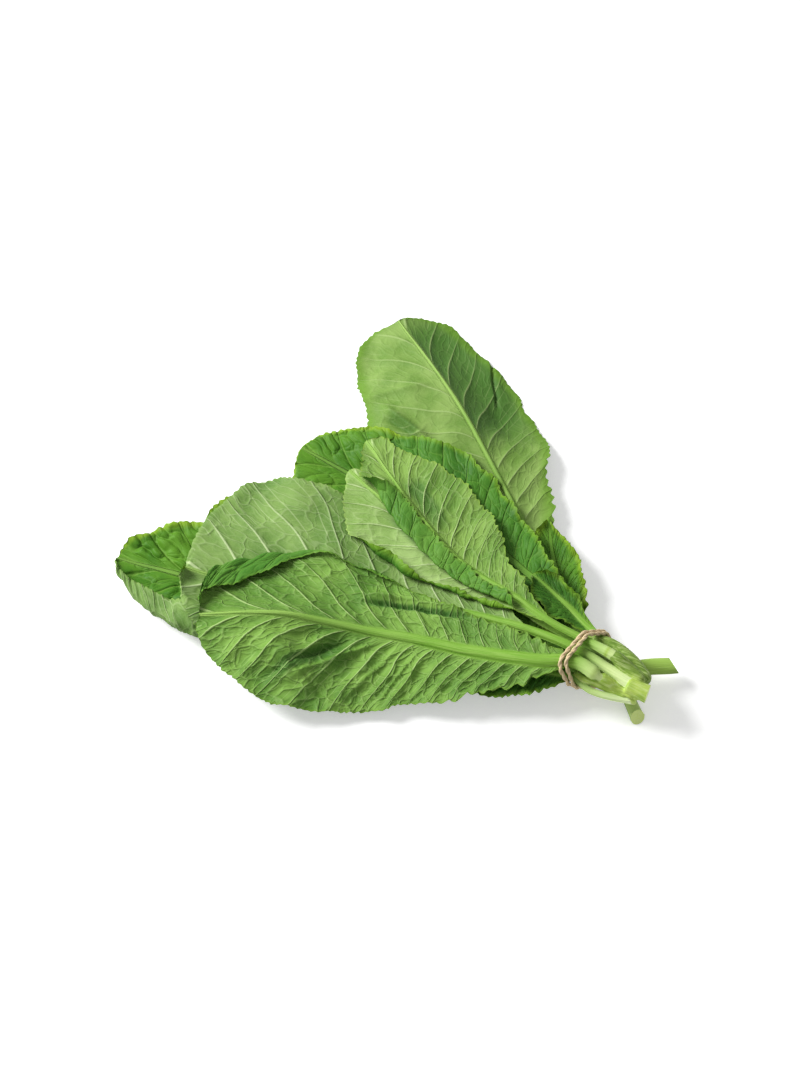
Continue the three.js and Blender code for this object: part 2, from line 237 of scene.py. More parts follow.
def between(values, x):
    # smooth values between evenly spaced ones, x from 0 to 1
    values = np.array(values, float)
    last = len(values) - 1
    place = np.clip(x, 0, 1) * last
    i = np.minimum(np.floor(place).astype(int), last - 1)
    f = place - i
    a, b, c, d = [values[np.clip(i + k, 0, last)] for k in (-1, 0, 1, 2)]
    return b + 0.5 * f * (c - a + f * (2 * a - 5 * b + 4 * c - d + f * (3 * (b - c) + d - a)))


def densePath(points):
    # centripetal Catmull-Rom curve through the points
    points = [np.array(p, float) for p in points]
    points = [2 * points[0] - points[1]] + points + [2 * points[-1] - points[-2]]
    dense = []
    f = np.linspace(0, 1, 60, endpoint=False)[:, None]
    for p0, p1, p2, p3 in zip(points, points[1:], points[2:], points[3:]):
        t0, t1, t2 = [math.sqrt(np.linalg.norm(b - a)) for a, b in ((p0, p1), (p1, p2), (p2, p3))]
        m1 = t1 * ((p1 - p0) / t0 - (p2 - p0) / (t0 + t1) + (p2 - p1) / t1)
        m2 = t1 * ((p2 - p1) / t1 - (p3 - p1) / (t1 + t2) + (p3 - p2) / t2)
        dense.append(p1 + f * m1 + f ** 2 * (3 * (p2 - p1) - 2 * m1 - m2)
                     + f ** 3 * (2 * (p1 - p2) + m1 + m2))
    return np.vstack(dense + [points[-2][None]])


def leafRows(length, base):
    # places of the sections along the leaf, from 0 to 1
    count = max(6, round(base * length / leafBuild["stalkStep"]))
    stalk = np.linspace(0, base, count, endpoint=False)
    blade = (1 - base) * length
    start = leafBuild["roundFrom"]
    straight = np.linspace(0, start, round(start * blade / leafBuild["bladeStep"]), endpoint=False)
    turn = np.linspace(0, math.pi / 2, round((1 - start) * blade * 1.5 / leafBuild["bladeStep"]))
    around = start + (1 - start) * np.sin(turn)
    return np.concatenate([stalk, base + (1 - base) * np.concatenate([straight, around])])


def halfWidth(leaf, side, u):
    x = (u - leaf["base"]) / (1 - leaf["base"])
    k = np.clip((x - leafBuild["roundFrom"]) / (1 - leafBuild["roundFrom"]), 0, 1)
    blunt = leaf["blunt"][0 if side == "left" else 1]
    width = between(leaf[side], x) * (1 - k ** blunt) ** (1 / blunt)
    return np.where(x <= 0, leafBuild["wing"], np.maximum(width, leafBuild["wing"]))


def slopes(leaf, side, u, t):
    # slope of the blade's section, in radians, u down the rows and t across
    k = 0 if side == "left" else 1
    x = (u[:, None] - leaf["base"]) / (1 - leaf["base"])
    angle = leaf["fold"][k] + leaf["bend"][k] * t[None, :] + 0 * x
    for roll in leaf["rolls"]:
        if roll["side"] == side:
            window = smooth(x, roll["from"] - 0.12, roll["from"] + 0.12)
            window = window * (1 - smooth(x, roll["to"] - 0.12, roll["to"] + 0.12))
            bend = roll.get("bend", 0.4)
            place = (x - roll["from"]) / (roll["to"] - roll["from"])
            start = between(roll["start"], place) - 0.3 * bend
            angle = angle + roll["turn"] * window * smooth(t[None, :], start, start + bend)
    return np.radians(angle) * smooth(x, 0, 0.15)


def veinPhase(leaf, side, along, out, blade):
    # counts the side veins: a whole number on each, more closely spaced at the leaf's base
    sweep = leaf["sweep"]
    k = smooth((along - 0.6 * out) / blade, 0.3, 0.85)
    lean = sweep[0] + (sweep[1] - sweep[0]) * k
    leave = (3 + 9 * k) * (1 - np.exp(-out / 5))  # a vein leaves the midrib nearly along it
    seed = leaf["seed"] + (7 if side == "left" else 0)
    start = (along - out * lean - leave) / blade
    start = start + 0.016 * valueNoise(along / 48, out / 30, seed) * smooth(out, 2, 20)
    spread = 1 - np.sign(1 - start) * np.abs(1 - start) ** 1.6
    return leaf["veins"] * spread + (0.5 if side == "left" else 0.1)


def relief(leaf, side, along, out, t, blade):
    # height of the blade's surface over its smooth section, towards the rib side
    k = 0 if side == "left" else 1
    seed = leaf["seed"] * 10 + k * 5
    phase = veinPhase(leaf, side, along, out, blade)
    gap = np.abs(phase - np.round(phase))
    spacing = blade / leaf["veins"]
    body = smooth(t, 0, 0.12) * (1 - 0.85 * smooth(t, 0.75, 1.0))
    pleat = (0.5 + 0.5 * np.cos(2 * np.pi * phase)) ** 1.6 - 0.4
    uneven = 1 + 0.6 * valueNoise(along / 40, out / 28, seed + 1)
    height = leaf["pleat"][k] * pleat * body * uneven
    crinkle = valueNoise(phase * 2.6, out / 16, seed + 7)
    crinkle = crinkle + 0.6 * valueNoise(phase * 5.1, out / 9, seed + 9)
    height = height + leaf["crinkle"] * crinkle * body
    height = height + 0.6 * np.exp(-(gap * spacing / 1.3) ** 2) * (1 - 0.75 * t) * smooth(out, 0, 4)
    bend = valueNoise(along / 8, out / 8, seed + 2)
    skew = valueNoise(along / 8, out / 8, seed + 3)
    cellX = phase * 1.9 + 0.3 * bend + leaf["seed"] * 3 + 11 * k
    cellY = out / leaf["cell"] + 0.3 * skew
    puckered = 0.75 + 0.55 * valueNoise(along / 21, out / 21, seed + 4)
    wide = 1 - np.exp(-(cellEdges(cellX, cellY) / 0.2) ** 2)
    finer = leafBuild["tightCells"]
    tight = 1 - np.exp(-(cellEdges(cellX * finer, cellY * finer) / 0.25) ** 2)
    height = height - leaf["quilt"] * (wide * puckered + 0.3 * tight) * smooth(out, 1, 8)
    height = height * smooth(along, 0, 18)
    large = valueNoise(along / 42 + 3, out / 34, seed + 5)
    large = large + 0.5 * valueNoise(along / 19, out / 17, seed + 6)
    height = height + leaf["swell"] * large * smooth(out, 0, 25) * smooth(along, 0, 40)
    wave, length = leaf["wave"]
    ruffle = np.sin(2 * np.pi * along / length + 2 * valueNoise(along / 50, out * 0, seed + 8))
    height = height + wave * ruffle * t ** 3 * smooth(along, 0, 40)
    signed = out if side == "right" else -out
    for crease in leaf["creases"]:
        height = height + crease["height"] * alongLine(crease, along, signed, 1.3)
    # painted shade: darkening along the listed lines, standing for the shade of folds, creases and
    # overlapping leaves
    shade = sum((zone["depth"] * alongLine(zone, along, signed, 6) for zone in leaf["shades"]
                 if zone.get("side", side) == side), 0 * height)
    return height, phase, cellX, cellY, shade


def alongLine(strip, along, across, power):
    # 1 on the line between two places (mm along the blade, mm across it), falling off beside it
    (a0, c0), (a1, c1) = strip["line"]
    da, dc = a1 - a0, c1 - c0
    span = math.hypot(da, dc)
    f = ((along - a0) * da + (across - c0) * dc) / span ** 2
    off = ((along - a0) * dc - (across - c0) * da) / span
    ends = smooth(f, -0.15, 0.2) * (1 - smooth(f, 0.8, 1.15))
    return ends * np.exp(-np.abs(off / strip["width"]) ** power)


def teethDepth(leaf, marginPlace, x, seed):
    # outward reach of the teeth along a margin, for its place in mm: coarse at the base
    coarse, small = leaf["teeth"]  # (spacing, depth) of the teeth
    k = smooth(x, 0.08, 0.5)
    spacing = coarse[0] + (small[0] - coarse[0]) * k
    count = np.cumsum(np.gradient(marginPlace) / spacing)
    warped = count + 0.45 * valueNoise(marginPlace / 17, marginPlace * 0, seed)
    tooth = warped - np.floor(warped)
    shape = np.where(tooth < 0.7, tooth / 0.7, (1 - tooth) / 0.3) ** 0.85
    size = coarse[1] + (small[1] - coarse[1]) * k
    size = size * (1 + 0.5 * valueNoise(np.floor(warped) * 0.73, marginPlace * 0, seed + 1))
    scallop = valueNoise(marginPlace / 11, marginPlace * 0, seed + 2)
    lobe = valueNoise(marginPlace / 24, marginPlace * 0, seed + 3)
    return (shape * size + scallop * small[1] + lobe * leaf["lobes"]) * smooth(x, 0.0, 0.08)


def leafSheets(leaf):
    # the leaf before it is laid down: its upper and lower sheet, and what its skins follow
    start = np.append(tie["centre"][:2], tie["stalkHeight"]) + tie["across"] * leaf["slot"]
    gripped = [start + tie["along"] * s for s in (tie["grip"], -tie["grip"])]
    dense = densePath(list(leaf["cut"]) + gripped + list(leaf["rib"]))
    steps = np.linalg.norm(np.diff(dense, axis=0), axis=1)
    reach = np.concatenate([[0], np.cumsum(steps)])
    length = reach[-1]
    u = leafRows(length, leaf["base"])
    x = (u - leaf["base"]) / (1 - leaf["base"])
    blade = (1 - leaf["base"]) * length
    slope = np.gradient(dense, reach, axis=0)
    middle, ahead = [np.stack([np.interp(u * length, reach, path[:, k]) for k in range(3)], axis=1)
                     for path in (dense, slope)]
    ahead /= np.linalg.norm(ahead, axis=1)[:, None]
    right = np.cross(ahead, [0, 0, 1.0])
    right /= np.linalg.norm(right, axis=1)[:, None]
    over = np.cross(right, ahead)
    radius = leaf["stalk"] + (leafBuild["ribTip"] - leaf["stalk"]) * u ** leaf["taper"]
    amount, near, far = leaf["neck"]
    radius = radius * (1 - amount * (1 - smooth(u * length, near, far)))
    tiePlace = reach[np.linalg.norm(dense[:len(dense) // 2] - gripped[1], axis=1).argmin()] - tie["grip"]
    stalkness = 1 - smooth(u, leaf["base"] * 0.8, leaf["base"] + 0.25)
    columns = max(round(max(leaf[side]) / leaf["columnStep"]) for side in ("left", "right"))
    t = np.linspace(0, 1, columns + 1)[1:]
    sides = {}
    for side, sign in (("left", -1), ("right", 1)):
        width = halfWidth(leaf, side, u)
        angle = slopes(leaf, side, u, t - 0.5 / columns)
        out = radius[:, None] + np.cumsum(np.cos(angle), axis=1) * width[:, None] / columns
        up = np.cumsum(np.sin(angle), axis=1) * width[:, None] / columns
        angle = slopes(leaf, side, u, t)
        alongMm = (x * blade)[:, None] + 0 * t
        outMm = width[:, None] * t[None, :]
        share = t[None, :] + 0 * alongMm
        height, phase, cellX, cellY, shade = relief(leaf, side, alongMm, outMm, share, blade)
        height = height * smooth(outMm, 0, 3) * (1 if leaf["face"] == "under" else -1)
        # teeth: the margin moves along its own outward direction
        edge = np.stack([x * blade, width], axis=1)
        run = np.gradient(edge, axis=0)
        marginPlace = np.concatenate([[0], np.cumsum(np.linalg.norm(np.diff(edge, axis=0), axis=1))])
        run /= np.linalg.norm(run, axis=1)[:, None] + 1e-9
        tooth = teethDepth(leaf, marginPlace, x, leaf["seed"] + (31 if side == "left" else 67))
        margin = (1 - share) * width[:, None]
        fade = np.exp(-(margin / 3.5) ** 2) * smooth(width, 2, 8)[:, None]
        outward = tooth[:, None] * run[:, 0][:, None] * fade
        sides[side] = {
            "out": sign * (out + outward * np.cos(angle)), "up": up + outward * np.sin(angle),
            "angle": sign * angle, "height": height, "shift": -tooth[:, None] * run[:, 1][:, None] * fade,
            "phase": phase, "cellX": cellX, "cellY": cellY, "margin": margin, "t": sign * share,
            "across": sign * outMm, "shade": shade}
    f = np.sin(np.linspace(-math.pi / 2, math.pi / 2, leafBuild["ribColumns"]))
    zero = np.zeros((len(u), len(f)))
    farIn = zero + 40  # mm, farther from the margin than its colour reaches
    rib = dict(dict.fromkeys(sides["left"], zero), out=radius[:, None] * f, margin=farIn)
    grid = {k: np.hstack([sides["left"][k][:, ::-1], rib[k], sides["right"][k]]) for k in rib}
    ribPlaces = (columns, columns + len(f))
    bulge = np.zeros_like(grid["out"])
    bulge[:, slice(*ribPlaces)] = radius[:, None] * np.sqrt(1 - f ** 2)
    for ring in leaf["rings"]:
        bulge *= 1 + 0.1 * np.exp(-((u * length - ring) / 1.1) ** 2)[:, None]
    thin = leafBuild["thickness"] * (0.5 + 0.5 * smooth(grid["margin"], 0, 3)) / 2
    outer = thin + leafBuild["ribBulge"] * bulge
    inner = thin + leafBuild["belly"] * bulge * stalkness[:, None]
    above, below = (outer, inner) if leaf["face"] == "under" else (inner, outer)
    nearCut = (1 - smooth(u * length, 0, 7))[:, None]

    def sheetAt(away):
        side = grid["out"] - np.sin(grid["angle"]) * away
        rise = grid["up"] + np.cos(grid["angle"]) * away
        forward = grid["shift"] + nearCut * (leaf["slant"] * (rise + 4) + leaf["skew"] * side)
        return (middle[:, None, :] + right[:, None, :] * side[..., None]
                + over[:, None, :] * rise[..., None] + ahead[:, None, :] * forward[..., None])

    return {"top": sheetAt(grid["height"] + above), "bottom": sheetAt(grid["height"] - below),
            "grid": grid, "u": u, "length": length, "rib": ribPlaces, "fromTie": u * length - tiePlace}


# height of the uppermost surface so far; each leaf is lowered onto it and then added to it
ground = np.zeros(laying["cells"])


def cellOf(p):
    return tuple(np.clip(np.round((p[..., axis] - laying["corner"][axis]) / laying["cell"]).astype(int),
                         0, ground.shape[1 - axis] - 1) for axis in (1, 0))


def shifted(a, radius, axis):
    # the map moved by -radius to radius cells, its border repeated
    pad = [(0, 0), (0, 0)]
    pad[axis] = (radius, radius)
    wide = np.pad(a, pad, mode="edge")
    n = a.shape[axis]
    return [np.take(wide, range(k, k + n), axis=axis) for k in range(2 * radius + 1)]


def spreadMax(a, radius=1):
    # largest value within radius cells
    for axis in (0, 1):
        a = np.max(shifted(a, radius, axis), axis=0)
    return a


def blur(a, sigma):
    radius = max(1, math.ceil(2.5 * sigma))
    weights = np.exp(-0.5 * (np.arange(-radius, radius + 1) / sigma) ** 2)
    weights /= weights.sum()
    for axis in (0, 1):
        a = sum(w * part for w, part in zip(weights, shifted(a, radius, axis)))
    return a


def resize(a, rows, columns):
    for axis, n in ((0, rows), (1, columns)):
        m = a.shape[axis]
        place = np.clip((np.arange(n) + 0.5) * m / n - 0.5, 0, m - 1)
        i = np.minimum(place.astype(int), max(m - 2, 0))
        f = (place - i).reshape((-1, 1) if axis == 0 else (1, -1))
        a = np.take(a, i, axis=axis) * (1 - f) + np.take(a, np.minimum(i + 1, m - 1), axis=axis) * f
    return a


def pool(a, step, how):
    rows, columns = math.ceil(a.shape[0] / step), math.ceil(a.shape[1] / step)
    wide = np.pad(a, ((0, rows * step - a.shape[0]), (0, columns * step - a.shape[1])), mode="edge")
    return how(wide.reshape(rows, step, columns, step), axis=(1, 3))


def drape(need, hRow, hColumn, sag, stiff, rib):
    # lowest smooth lift that is at least need, found from a coarse grid down to the finest one
    lift = None
    for step, rounds in laying["rounds"]:
        low = pool(need, step, np.max)
        wRow = 1 / (pool(hRow, step, np.mean) * step) ** 2
        wColumn = 1 / (pool(hColumn, step, np.mean) * step) ** 2
        fall = pool(sag, step, np.mean)
        rigid = pool(stiff, step, np.min) > 0.5
        first, last = rib[0] // step, max(rib[0] // step + 1, math.ceil(rib[1] / step))
        lift = low.copy() if lift is None else np.maximum(low, resize(lift, *low.shape))
        for _ in range(rounds):
            wide = np.pad(lift, 1, mode="edge")
            near = wRow * (wide[:-2, 1:-1] + wide[2:, 1:-1])
            near = near + wColumn * (wide[1:-1, :-2] + wide[1:-1, 2:])
            lift = np.maximum(low, (near - fall) / (2 * wRow + 2 * wColumn))
            line = lift[:, first:last].max(axis=1)
            line = np.maximum(line, np.where(rigid[:, 0], lift.max(axis=1), line))
            lift[:, first:last] = line[:, None]
            lift = np.where(rigid, line[:, None], lift)
    return lift


def settle(leaf, sheets):
    # lifts the flat leaf until it clears what lies below, bending softly and stiff in its stalk
    top, bottom, u = sheets["top"], sheets["bottom"], sheets["u"]
    first, last = sheets["rib"]
    over = spreadMax(ground)
    need = np.zeros(top.shape[:2])
    for sheet in (top, bottom):
        need = np.maximum(need, over[cellOf(sheet)] + leafBuild["clearance"] - sheet[..., 2])
    middle = (top + bottom) / 2
    hRow = np.maximum(np.gradient(u)[:, None] * sheets["length"], 0.4) + 0 * need
    hColumn = np.linalg.norm(np.gradient(middle, axis=1), axis=2)
    hColumn = np.maximum(hColumn.mean(axis=1, keepdims=True), 0.25) + 0 * need
    least, more = laying["sag"]
    sag = (least + more * smooth(u, leaf["base"], leaf["base"] + 0.4))[:, None] + 0 * need
    # only the stalk itself is carried, the blade's first narrow strip may tuck in beside others
    inStalk = u < leaf["base"] + 0.03
    stiff = inStalk[:, None] + 0 * need
    need[inStalk, :first] = 0
    need[inStalk, last:] = 0
    held = leaf["raised"] * (1 - smooth(u, leaf["base"] - 0.1, leaf["base"] + 0.1))
    need[:, first:last] = np.maximum(need[:, first:last], held[:, None])
    angle = np.abs(sheets["grid"]["angle"])
    flap = angle > math.radians(laying["flap"])
    flat = angle < math.radians(laying["flat"])
    for attempt in range(laying["flapRounds"] if flap.any() else 1):
        lift = drape(need, hRow, hColumn, sag, stiff, sheets["rib"])
        soft = blur(lift, 2.0)
        short = spreadMax(np.maximum(need - soft, 0), 3)
        lift = soft + blur(short, 1.2)
        lift = np.where(inStalk[:, None], lift.max(axis=1, keepdims=True), lift)
        lift[:, first:last] = lift[:, first:last].max(axis=1, keepdims=True)
        if not flap.any():
            break
        # a turned-over flap lies on its own blade
        own = np.zeros_like(ground)
        for sheet in (top, bottom):
            i, j = cellOf(sheet)
            np.maximum.at(own, (i[flat], j[flat]), (sheet[..., 2] + lift)[flat])
        own = spreadMax(own, 2)
        low = np.minimum(top[..., 2], bottom[..., 2])
        need = np.where(flap, np.maximum(need, own[cellOf(middle)] + leafBuild["clearance"] - low), need)
    thirds = (0, 1 / 3, 2 / 3)
    for sheet in (top, bottom):
        sheet[..., 2] += lift
        for f, g in [(f, g) for f in thirds for g in thirds]:
            p = (sheet[:-1, :-1] * (1 - f) * (1 - g) + sheet[1:, :-1] * f * (1 - g)
                 + sheet[:-1, 1:] * (1 - f) * g + sheet[1:, 1:] * f * g)
            np.maximum.at(ground, cellOf(p), p[..., 2])


def layTwine():
    # the surface under the stalks is raised where the twine's lower run passes
    drop = tie["centre"][2] * math.tan(math.radians(tie["lean"]))
    q, s = np.meshgrid(*[np.arange(-reach, reach, laying["cell"] / 2)
                         for reach in (tie["halfSpan"], tie["bed"])])
    p = tie["centre"] + tie["across"] * q[..., None] + tie["along"] * (s[..., None] + drop)
    ground[cellOf(p)] = tie["twine"] + leafBuild["clearance"]


def readAll(items, name, width=1, kind=np.int32):
    values = np.empty(len(items) * width, dtype=kind)
    items.foreach_get(name, values)
    return values


def buildLeaf(leaf):
    sheets = leafSheets(leaf)
    settle(leaf, sheets)
    grid = sheets["grid"]
    rows, columns = sheets["top"].shape[:2]
    bpy.ops.object.select_all(action="DESELECT")
    bpy.ops.mesh.primitive_grid_add(x_subdivisions=columns - 1, y_subdivisions=rows - 1, size=1,
                                    calc_uvs=False)
    piece = bpy.context.object
    piece.name = leaf["node"] + "_blade"
    wall = piece.modifiers.new("thickness", "SOLIDIFY")
    wall.thickness = 0.01
    wall.offset = 0
    wall.use_rim = True
    wall.material_offset = 1
    for skin in (*leaf["skins"], "cut"):
        piece.data.materials.append(skins[skin])
    bpy.ops.object.modifier_apply(modifier="thickness")
    mesh = piece.data
    # the grid's own vertices face up and become the upper sheet, the copies become the lower one
    co = readAll(mesh.vertices, "co", 3, float).reshape(-1, 3)
    j = np.round((co[:, 0] + 0.5) * (columns - 1)).astype(int)
    i = np.round((co[:, 1] + 0.5) * (rows - 1)).astype(int)
    upper = co[:, 2] > 0
    new = np.where(upper[:, None], sheets["top"][i, j], sheets["bottom"][i, j])
    mesh.vertices.foreach_set("co", (new * mm).ravel())
    along = sheets["u"] * sheets["length"]
    ring = sum((np.exp(-((along - r) / 0.9) ** 2) for r in leaf["rings"]), np.zeros(rows))
    stalk = 1 - smooth(np.abs(grid["across"]), 0.0, 1.6)
    stalk[:, slice(*sheets["rib"])] = 1
    values = {
        "stalk": stalk,
        "margin": grid["margin"],
        "fromTie": sheets["fromTie"][:, None] + 0 * stalk,
        "ring": ring[:, None] + 0 * stalk,
        # the painted shade, per vertex
        "shade": grid["shade"],
    }
    for name, value in values.items():
        layer = mesh.attributes.new(name, "FLOAT", "POINT")
        layer.data.foreach_set("value", value[i, j].astype(np.float32))
    corner = readAll(mesh.loops, "vertex_index")
    pairs = {
        "veins": (grid["phase"][i, j], np.abs(grid["t"])[i, j]),
        "fibres": (along[i] / uvLength, grid["out"][i, j] / uvLength),
        "cells": (grid["cellX"][i, j], grid["cellY"][i, j]),
    }
    for name, pair in pairs.items():
        layer = mesh.uv_layers.new(name=name)
        layer.data.foreach_set("uv", np.stack(pair, axis=1)[corner].astype(np.float32).ravel())
    # faces: the rib side and the rim take the first skin, the other side the second, the cut the third
    faces = [corner[s:s + n] for s, n in zip(readAll(mesh.polygons, "loop_start"),
                                             readAll(mesh.polygons, "loop_total"))]
    upFace, downFace, cutFace = [np.array([found[face].all() for face in faces])
                                 for found in (upper, ~upper, i == 0)]
    ribSide = upFace if leaf["face"] == "under" else downFace
    skin = np.where(cutFace, 2, np.where(ribSide | ~(upFace | downFace), 0, 1))
    mesh.polygons.foreach_set("material_index", skin.astype(np.int32))
    mesh.update()
    bpy.ops.object.shade_smooth_by_angle(angle=math.radians(leafBuild["smoothAngle"]))
    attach(piece, "root")
    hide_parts(leaf["node"])
    print("leaf", piece.name, len(mesh.polygons) * 2, "triangles")
    return sheets


grain = {  # mm
    "patch": 29.41,  # uneven tissue
    "speck": 1.111,  # cells of the skin, drawn coarser than they are so that they show
    "crumple": 13.33,  # small folds between the veins
    "fibreLength": 25,
    "fibreWidth": 0.769,
    "bump": 1.1,
}


def leafSkin(name, look):
    # leaf tissue under a thin waxy skin: a soft broad sheen, light that comes through from behind,
    # veins that stand out below and are sunk above; the stalk is fibrous and smoother
    material = bpy.data.materials.new(name)
    add = emptyTree(material)
    soft = {"interpolation_type": "SMOOTHSTEP"}
    phase, side = add("SeparateXYZ", {0: add("UVMap", uv_map="veins")}).outputs[:2]
    place = add("TexCoord").outputs["Object"]
    stalk, margin, fromTie, ring, shade = [
        add("Attribute", attribute_name=kept).outputs["Fac"]
        for kept in ("stalk", "margin", "fromTie", "ring", "shade")]

    # side veins: thin lines on the whole numbers of the phase, thinner to the margin, forked halfway
    width = add("MapRange", {0: side, 3: look["veinWidth"][0], 4: look["veinWidth"][1]}, **soft)
    away = add("Math", {0: phase, 1: 0.5}, operation="PINGPONG")
    across = add("Math", {0: away, 1: width}, operation="DIVIDE")
    line = add("MapRange", {0: across, 1: 0.35, 2: 1.0, 3: 1.0, 4: 0.0}, **soft)
    doubled = add("Math", {0: phase, 1: 2.0, 2: 0.5}, operation="MULTIPLY_ADD")
    forkAway = add("Math", {0: doubled, 1: 0.5}, operation="PINGPONG")
    forkWidth = add("Math", {0: width, 1: 1.4}, operation="MULTIPLY")
    forkAcross = add("Math", {0: forkAway, 1: forkWidth}, operation="DIVIDE")
    fork = add("MapRange", {0: forkAcross, 1: 0.3, 2: 1.0, 3: 0.6, 4: 0.0}, **soft)
    outside = add("MapRange", {0: side, 1: 0.45, 2: 0.6}, **soft)
    fork = add("Math", {0: fork, 1: outside}, operation="MULTIPLY")
    line = add("Math", {0: line, 1: fork}, operation="MAXIMUM")
    blade = add("Math", {0: 1.0, 1: stalk}, operation="SUBTRACT")
    line = add("Math", {0: line, 1: blade}, operation="MULTIPLY")

    # network of small veins: the same cells as in the relief, and finer ones
    cells = add("UVMap", uv_map="cells")
    wide, tight, fine = [
        add("TexVoronoi", {"Vector": cells, "Scale": scale, "Randomness": scatter},
            feature="DISTANCE_TO_EDGE", voronoi_dimensions="2D")
        for scale, scatter in ((1.0, leafBuild["cellScatter"]),
                               (leafBuild["tightCells"], leafBuild["cellScatter"]), (7.5, 1.0))]
    net = add("MapRange", {0: wide, 1: 0.01, 2: 0.075, 3: 1.0, 4: 0.0}, **soft)
    for border, reach, strength in ((tight, 0.14, 0.45), (fine, 0.2, 0.2)):
        layer = add("MapRange", {0: border, 2: reach, 3: strength, 4: 0.0}, **soft)
        net = add("Math", {0: net, 1: layer}, operation="MAXIMUM")

    # colour of the blade: uneven tissue, small light specks, painted shade of folds and overlapping
    # leaves, paler veins, yellow-green margin
    patches = add("TexNoise", {"Vector": place, "Scale": 1 / (grain["patch"] * mm), "Detail": 3.0,
                               "Roughness": 0.6})
    speck = add("TexNoise", {"Vector": place, "Scale": 1 / (grain["speck"] * mm), "Detail": 2.0})
    patch = add("MapRange", {0: patches, 1: 0.34, 2: 0.66}, **soft)
    tissue = add("Mix", {0: patch, 6: linear(look["deep"]), 7: linear(look["light"])}, data_type="RGBA")
    specks = add("MapRange", {0: speck, 1: 0.35, 2: 0.7, 3: 0.0, 4: 0.25}, **soft)
    netShown = add("Math", {0: net, 1: look["netShow"]}, operation="MULTIPLY")
    strength = add("MapRange", {0: side, 1: 0.1, 2: 0.9, 3: look["veinShow"],
                                4: look["veinShow"] * 0.55}, **soft)
    lineShown = add("Math", {0: line, 1: strength}, operation="MULTIPLY")
    edge = add("MapRange", {0: margin, 2: look["edgeWidth"], 3: look["edgeShow"], 4: 0.0}, **soft)
    for amount, tone in ((specks, "light"), (shade, "shade"), (netShown, "vein"), (lineShown, "vein"),
                         (edge, "edge")):
        tissue = add("Mix", {0: amount, 6: tissue, 7: linear(look[tone])}, data_type="RGBA")

    # colour of the stalk and midrib, by the distance from the tie
    repeats = (uvLength / grain["fibreLength"], uvLength / grain["fibreWidth"], 1.0)
    strands = add("Mapping", {"Vector": add("UVMap", uv_map="fibres"), "Scale": repeats})
    fibre = add("TexNoise", {"Vector": strands, "Scale": 1.0, "Detail": 2.0})
    along = add("MapRange", {0: fromTie, 1: -40.0, 2: 260.0})
    stem = add("ValToRGB", {0: along})
    steps = stem.color_ramp.elements
    steps[0].color, steps[1].color = linear(look["stalkEnd"]), linear(look["ribTip"])
    for position, tone in ((0.1, "stalkTie"), (0.17, "stalkBlade"), (0.55, "rib")):
        steps.new(position).color = linear(look[tone])
    strand = add("MapRange", {0: fibre, 1: 0.35, 2: 0.68, 3: 0.0, 4: 0.32}, **soft)
    ringShown = add("Math", {0: ring, 1: 0.8}, operation="MULTIPLY")
    for amount, tone in ((strand, "fibre"), (ringShown, "ring")):
        stem = add("Mix", {0: amount, 6: stem, 7: linear(look[tone])}, data_type="RGBA")
    ribShown = add("MapRange", {0: along, 1: 0.25, 2: 0.45, 3: 1.0, 4: look["ribShow"]}, **soft)
    stalk = add("Math", {0: stalk, 1: ribShown}, operation="MULTIPLY")
    blade = add("Math", {0: 1.0, 1: stalk}, operation="SUBTRACT")
    colour = add("Mix", {0: stalk, 6: tissue, 7: stem}, data_type="RGBA")

    # bump: raised veins below, sunken ones above, crumpled tissue, grain and fibres
    raised = add("MapRange", {0: across, 2: 2.2, 3: 1.0, 4: 0.0}, **soft)
    wideRaised = add("MapRange", {0: wide, 2: 0.14, 3: 0.5, 4: 0.0}, **soft)
    tightRaised = add("MapRange", {0: tight, 2: 0.2, 3: 0.2, 4: 0.0}, **soft)
    ridges = add("TexNoise", {"Vector": place, "Scale": 1 / (grain["crumple"] * mm), "Detail": 1.0,
                              "Roughness": 0.4, "Distortion": 0.8},
                 noise_type="RIDGED_MULTIFRACTAL", normalize=True)
    raised = add("Math", {0: raised, 1: wideRaised}, operation="MAXIMUM")
    raised = add("Math", {0: raised, 1: tightRaised}, operation="ADD")
    raised = add("Math", {0: ridges, 1: look["crumple"], 2: raised}, operation="MULTIPLY_ADD")
    raised = add("Math", {0: raised, 1: look["relief"]}, operation="MULTIPLY")
    raised = add("Math", {0: raised, 1: blade}, operation="MULTIPLY")
    lined = add("Math", {0: fibre, 1: stalk}, operation="MULTIPLY")
    height = add("Math", {0: speck, 1: 0.12, 2: raised}, operation="MULTIPLY_ADD")
    height = add("Math", {0: lined, 1: 0.5, 2: height}, operation="MULTIPLY_ADD")
    bump = add("Bump", {"Height": height, "Distance": grain["bump"] * mm, "Strength": 0.9})

    shine = add("MapRange", {0: patches, 1: 0.3, 2: 0.7, 3: look["rough"] - 0.05,
                             4: look["rough"] + 0.06}, **soft)
    surface = add("BsdfPrincipled", {"Base Color": colour, "Roughness": shine, "IOR": 1.42,
                                     "Specular IOR Level": look["specular"], "Normal": bump})
    through = add("Mix", {0: 1.0, 6: colour, 7: linear(look["lit"])}, data_type="RGBA",
                  blend_type="MULTIPLY")
    glow = add("BsdfTranslucent", {"Color": through})
    thin = add("Math", {0: blade, 1: look["through"]}, operation="MULTIPLY")
    add("OutputMaterial", {"Surface": add("MixShader", {0: thin, 1: surface, 2: glow})})
    return material


cutLook = {
    "deep": "#d4ee74", "light": "#e8f6a6", "rough": 0.4,
    "bump": 0.3,  # mm
}


